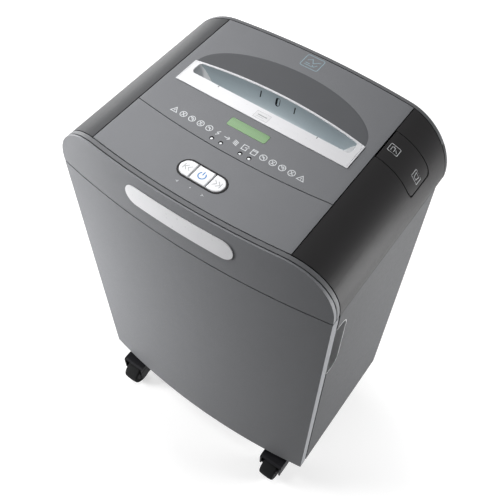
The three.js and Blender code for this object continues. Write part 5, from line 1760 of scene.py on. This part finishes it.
BOTTLE = [
    [(-0.5, -0.6), (-0.5, 0.4), (0.1, 0.4), (0.1, -0.6)],
    [(0.3, 0.1), (0.7, -0.5)],
    [(-0.2, 0.4), (-0.2, 0.75)],
]
SACK = [[(-0.5, 0.5), (-0.35, -0.55), (0.35, -0.55), (0.5, 0.5)], [(-0.6, 0.55), (0.6, 0.55)]]
first_sign = framed_sign("lid_sign_upper", 169.3, 70.4, 7.4, 6.4, BOTTLE)
dress(soften(first_sign, 0, 0), "lid", "white_ink", "dark_shell")
second_sign = framed_sign("lid_sign_lower", 207.6, 70.4, 4.8, 6.4, SACK)
dress(soften(second_sign, 0, 0), "lid", "grey_ink", "dark_shell")

# %% Blank label and paper ticks on the bezel
label_film = (BEZEL_TOP - INK_ROOT, BEZEL_TOP + INK / 2)
label = prism("bezel_label", rounded(-10.8, 12.1, 6.2, 19.6, 0.8), "z", label_film)
dress(soften(label, 0, 0), "root", "label_film", "pale_trim")
label_lines = [printed(rounded(-10.4, 11.7, 6.6, 19.2, 0.8, 3), 0.3, True, BEZEL_TOP)]
label_lines.append(printed([(-6.5, 13.6), (8, 13.6)], 1.6, False, BEZEL_TOP))
label_lines.append(printed([(-6.5, 10.4), (4, 10.4)], 0.5, False, BEZEL_TOP))
dress(soften(together("label_lines", label_lines), 0, 0), "root", "grey_ink", "pale_trim")
ticks = [printed([(x, LANDING - 3.2), (x, LANDING - 0.3)], 1.1, False, BEZEL_TOP) for x in (-80, 80)]
dress(soften(together("paper_ticks", ticks), 0, 0), "root", "black_ink", "pale_trim")

# %% [markdown]
# Six small pan-head screws hold the back panel, three along its top and three along its foot. A screw
# is a short domed rod with a cross recess. All six become one piece.

# %% Screws
SCREW_HEAD = 3.4
CROSS = (0.45, 1.9)


def screw(x, z, y):
    head = rod("screw", SCREW_HEAD, "y", (x, z), (y - 1.5, y + 1.2), 24)
    faces_where(head, lambda c, n: n.y > 0.9)
    bpy.ops.mesh.bevel(offset=0.8 * MM, segments=3)
    bpy.ops.object.mode_set(mode="OBJECT")
    for half_x, half_z in (CROSS, CROSS[::-1]):
        cut(head, block("slot", (x - half_x, x + half_x), (y + 0.2, y + 3), (z - half_z, z + half_z)))
    return head


BACK_SCREWS = [(x, z) for x in (-BACK_HALF + 9, 0, BACK_HALF - 9) for z in (BASE_TOP + 14, CABINET_TOP - 14)]
screws = [screw(x, z, BACK - 0.9) for x, z in BACK_SCREWS]
dress(soften(together("back_screws", screws), 0, 0), "root", "zinc_steel", "zinc_steel")

# %% [markdown]
# ## Studio
# The machine stands on a plain pale floor under six softboxes. The one at the front left is small and
# close, so that the bowed door fades from pale to dark across its width. The one behind on the left
# draws the bright line along the left shoulder. Two hang over the top, and two low ones light the right
# side and leave the right shoulder dark. The floor takes the machine's shadow, and far out it fades to
# plain white.

# %% Floor
FLOOR_LIFT = 0.6
FLOOR_FADE = (0.45, 1.5)
FLOOR_PALE = 0.55
FLOOR_BOUNCE = 0.2


def ray_mix(tree, first, second):
    """Mix two shaders: the second one is for what the camera, a reflection or a clear piece sees."""
    path = tree.nodes.new("ShaderNodeLightPath")
    seen = path.outputs["Is Camera Ray"]
    for other in ("Is Glossy Ray", "Is Transmission Ray"):
        either = tree.nodes.new("ShaderNodeMath")
        either.operation = "MAXIMUM"
        tree.links.new(seen, either.inputs[0])
        tree.links.new(path.outputs[other], either.inputs[1])
        seen = either.outputs["Value"]
    mix = tree.nodes.new("ShaderNodeMixShader")
    tree.links.new(seen, mix.inputs["Fac"])
    tree.links.new(first, mix.inputs[1])
    tree.links.new(second, mix.inputs[2])
    return mix.outputs["Shader"]


def floor_paint():
    """The camera sees the floor near the machine take its shadow, and fade to plain white further out."""
    paint = bpy.data.materials.new("studio_floor")
    paint.use_nodes = True
    tree = paint.node_tree
    tree.nodes.clear()
    plain = tree.nodes.new("ShaderNodeBsdfDiffuse")
    plain.inputs["Color"].default_value = (FLOOR_BOUNCE, FLOOR_BOUNCE, FLOOR_BOUNCE, 1)
    bright = tree.nodes.new("ShaderNodeBsdfDiffuse")
    bright.inputs["Color"].default_value = (FLOOR_PALE, FLOOR_PALE, FLOOR_PALE, 1)
    lift = tree.nodes.new("ShaderNodeEmission")
    where = tree.nodes.new("ShaderNodeTexCoord")
    away = tree.nodes.new("ShaderNodeVectorMath")
    away.operation = "LENGTH"
    tree.links.new(where.outputs["Object"], away.inputs[0])
    rising = tree.nodes.new("ShaderNodeMapRange")
    for socket, value in zip(("From Min", "From Max", "To Min", "To Max"), (*FLOOR_FADE, FLOOR_LIFT, 1.0)):
        rising.inputs[socket].default_value = value
    tree.links.new(away.outputs["Value"], rising.inputs["Value"])
    tree.links.new(rising.outputs["Result"], lift.inputs["Strength"])
    add = tree.nodes.new("ShaderNodeAddShader")
    tree.links.new(bright.outputs["BSDF"], add.inputs[0])
    tree.links.new(lift.outputs["Emission"], add.inputs[1])
    out = tree.nodes.new("ShaderNodeOutputMaterial")
    tree.links.new(ray_mix(tree, plain.outputs["BSDF"], add.outputs["Shader"]), out.inputs["Surface"])
    return paint


bpy.ops.object.select_all(action="DESELECT")
bpy.ops.mesh.primitive_plane_add(size=14)
floor = named("studio_floor")
floor.data.materials.append(floor_paint())
floor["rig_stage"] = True

# %% World
AMBIENT = 0.05
world = bpy.data.worlds.new("studio")
world.use_nodes = True
bpy.context.scene.world = world
tree = world.node_tree
tree.nodes.clear()
ambient = tree.nodes.new("ShaderNodeBackground")
ambient.inputs["Strength"].default_value = AMBIENT
white = tree.nodes.new("ShaderNodeBackground")
for background in (ambient, white):
    background.inputs["Color"].default_value = (1, 1, 1, 1)
output = tree.nodes.new("ShaderNodeOutputWorld")
world_shader = ray_mix(tree, ambient.outputs["Background"], white.outputs["Background"])
tree.links.new(world_shader, output.inputs["Surface"])


# %% Softboxes
def softbox(name, where, target, size, power):
    bpy.ops.object.select_all(action="DESELECT")
    bpy.ops.object.light_add(type="AREA", location=where)
    lamp_object = bpy.context.active_object
    lamp_object.name = name
    lamp_object.visible_camera = False
    light = lamp_object.data
    light.shape = "RECTANGLE"
    light.size, light.size_y = size
    light.energy = power
    aim = Vector(target) - Vector(where)
    lamp_object.rotation_euler = aim.to_track_quat("-Z", "Y").to_euler()
    return lamp_object


softbox("front_left", (-0.8, -0.6, 0.45), (-0.15, -0.15, 0.4), (0.3, 0.5), 10)
softbox("left_back", (-1.6, 0.8, 0.8), (0, 0, 0.5), (0.8, 1.0), 23)
softbox("overhead_back", (-0.45, 0.3, 1.4), (-0.05, 0, 0.7), (0.5, 0.4), 3.9)
softbox("overhead_front", (-0.2, -0.3, 1.3), (-0.05, -0.1, 0.7), (0.25, 0.25), 3)
softbox("right_back", (1.0, 0.4, 0.3), (0.2, 0, 0.4), (0.4, 0.6), 15)
softbox("right_front", (1.8, -0.9, 0.8), (0.2, 0, 0.4), (0.6, 0.8), 1.5)

# %% Camera
LENS = 50.98
CAMERA_AT = Vector((0.37623, -0.53896, 1.39961))
LOOK_AT = Vector((0.00576, -0.00472, 0.451))
TILT = math.radians(1.36)
bpy.ops.object.camera_add(location=CAMERA_AT)
camera = bpy.context.active_object
camera.name = "camera"
camera.data.lens = LENS
camera.rotation_mode = "QUATERNION"
camera.rotation_quaternion = (LOOK_AT - CAMERA_AT).to_track_quat("-Z", "Y") @ Quaternion((0, 0, 1), TILT)
bpy.context.scene.camera = camera
bpy.context.scene.view_settings.view_transform = "Standard"

# %% [markdown]
# ## Last look at the sizes
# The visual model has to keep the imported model's size. Both boxes are written down side by side.

# %% Compare the sizes and finish
bounds_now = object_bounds()
sizes = {"packed": [list(corner) for corner in bounds_at_load], "visual": [list(corner) for corner in bounds_now]}
for label_text, corners in sizes.items():
    print(label_text, [["%.4f" % value for value in corner] for corner in corners])
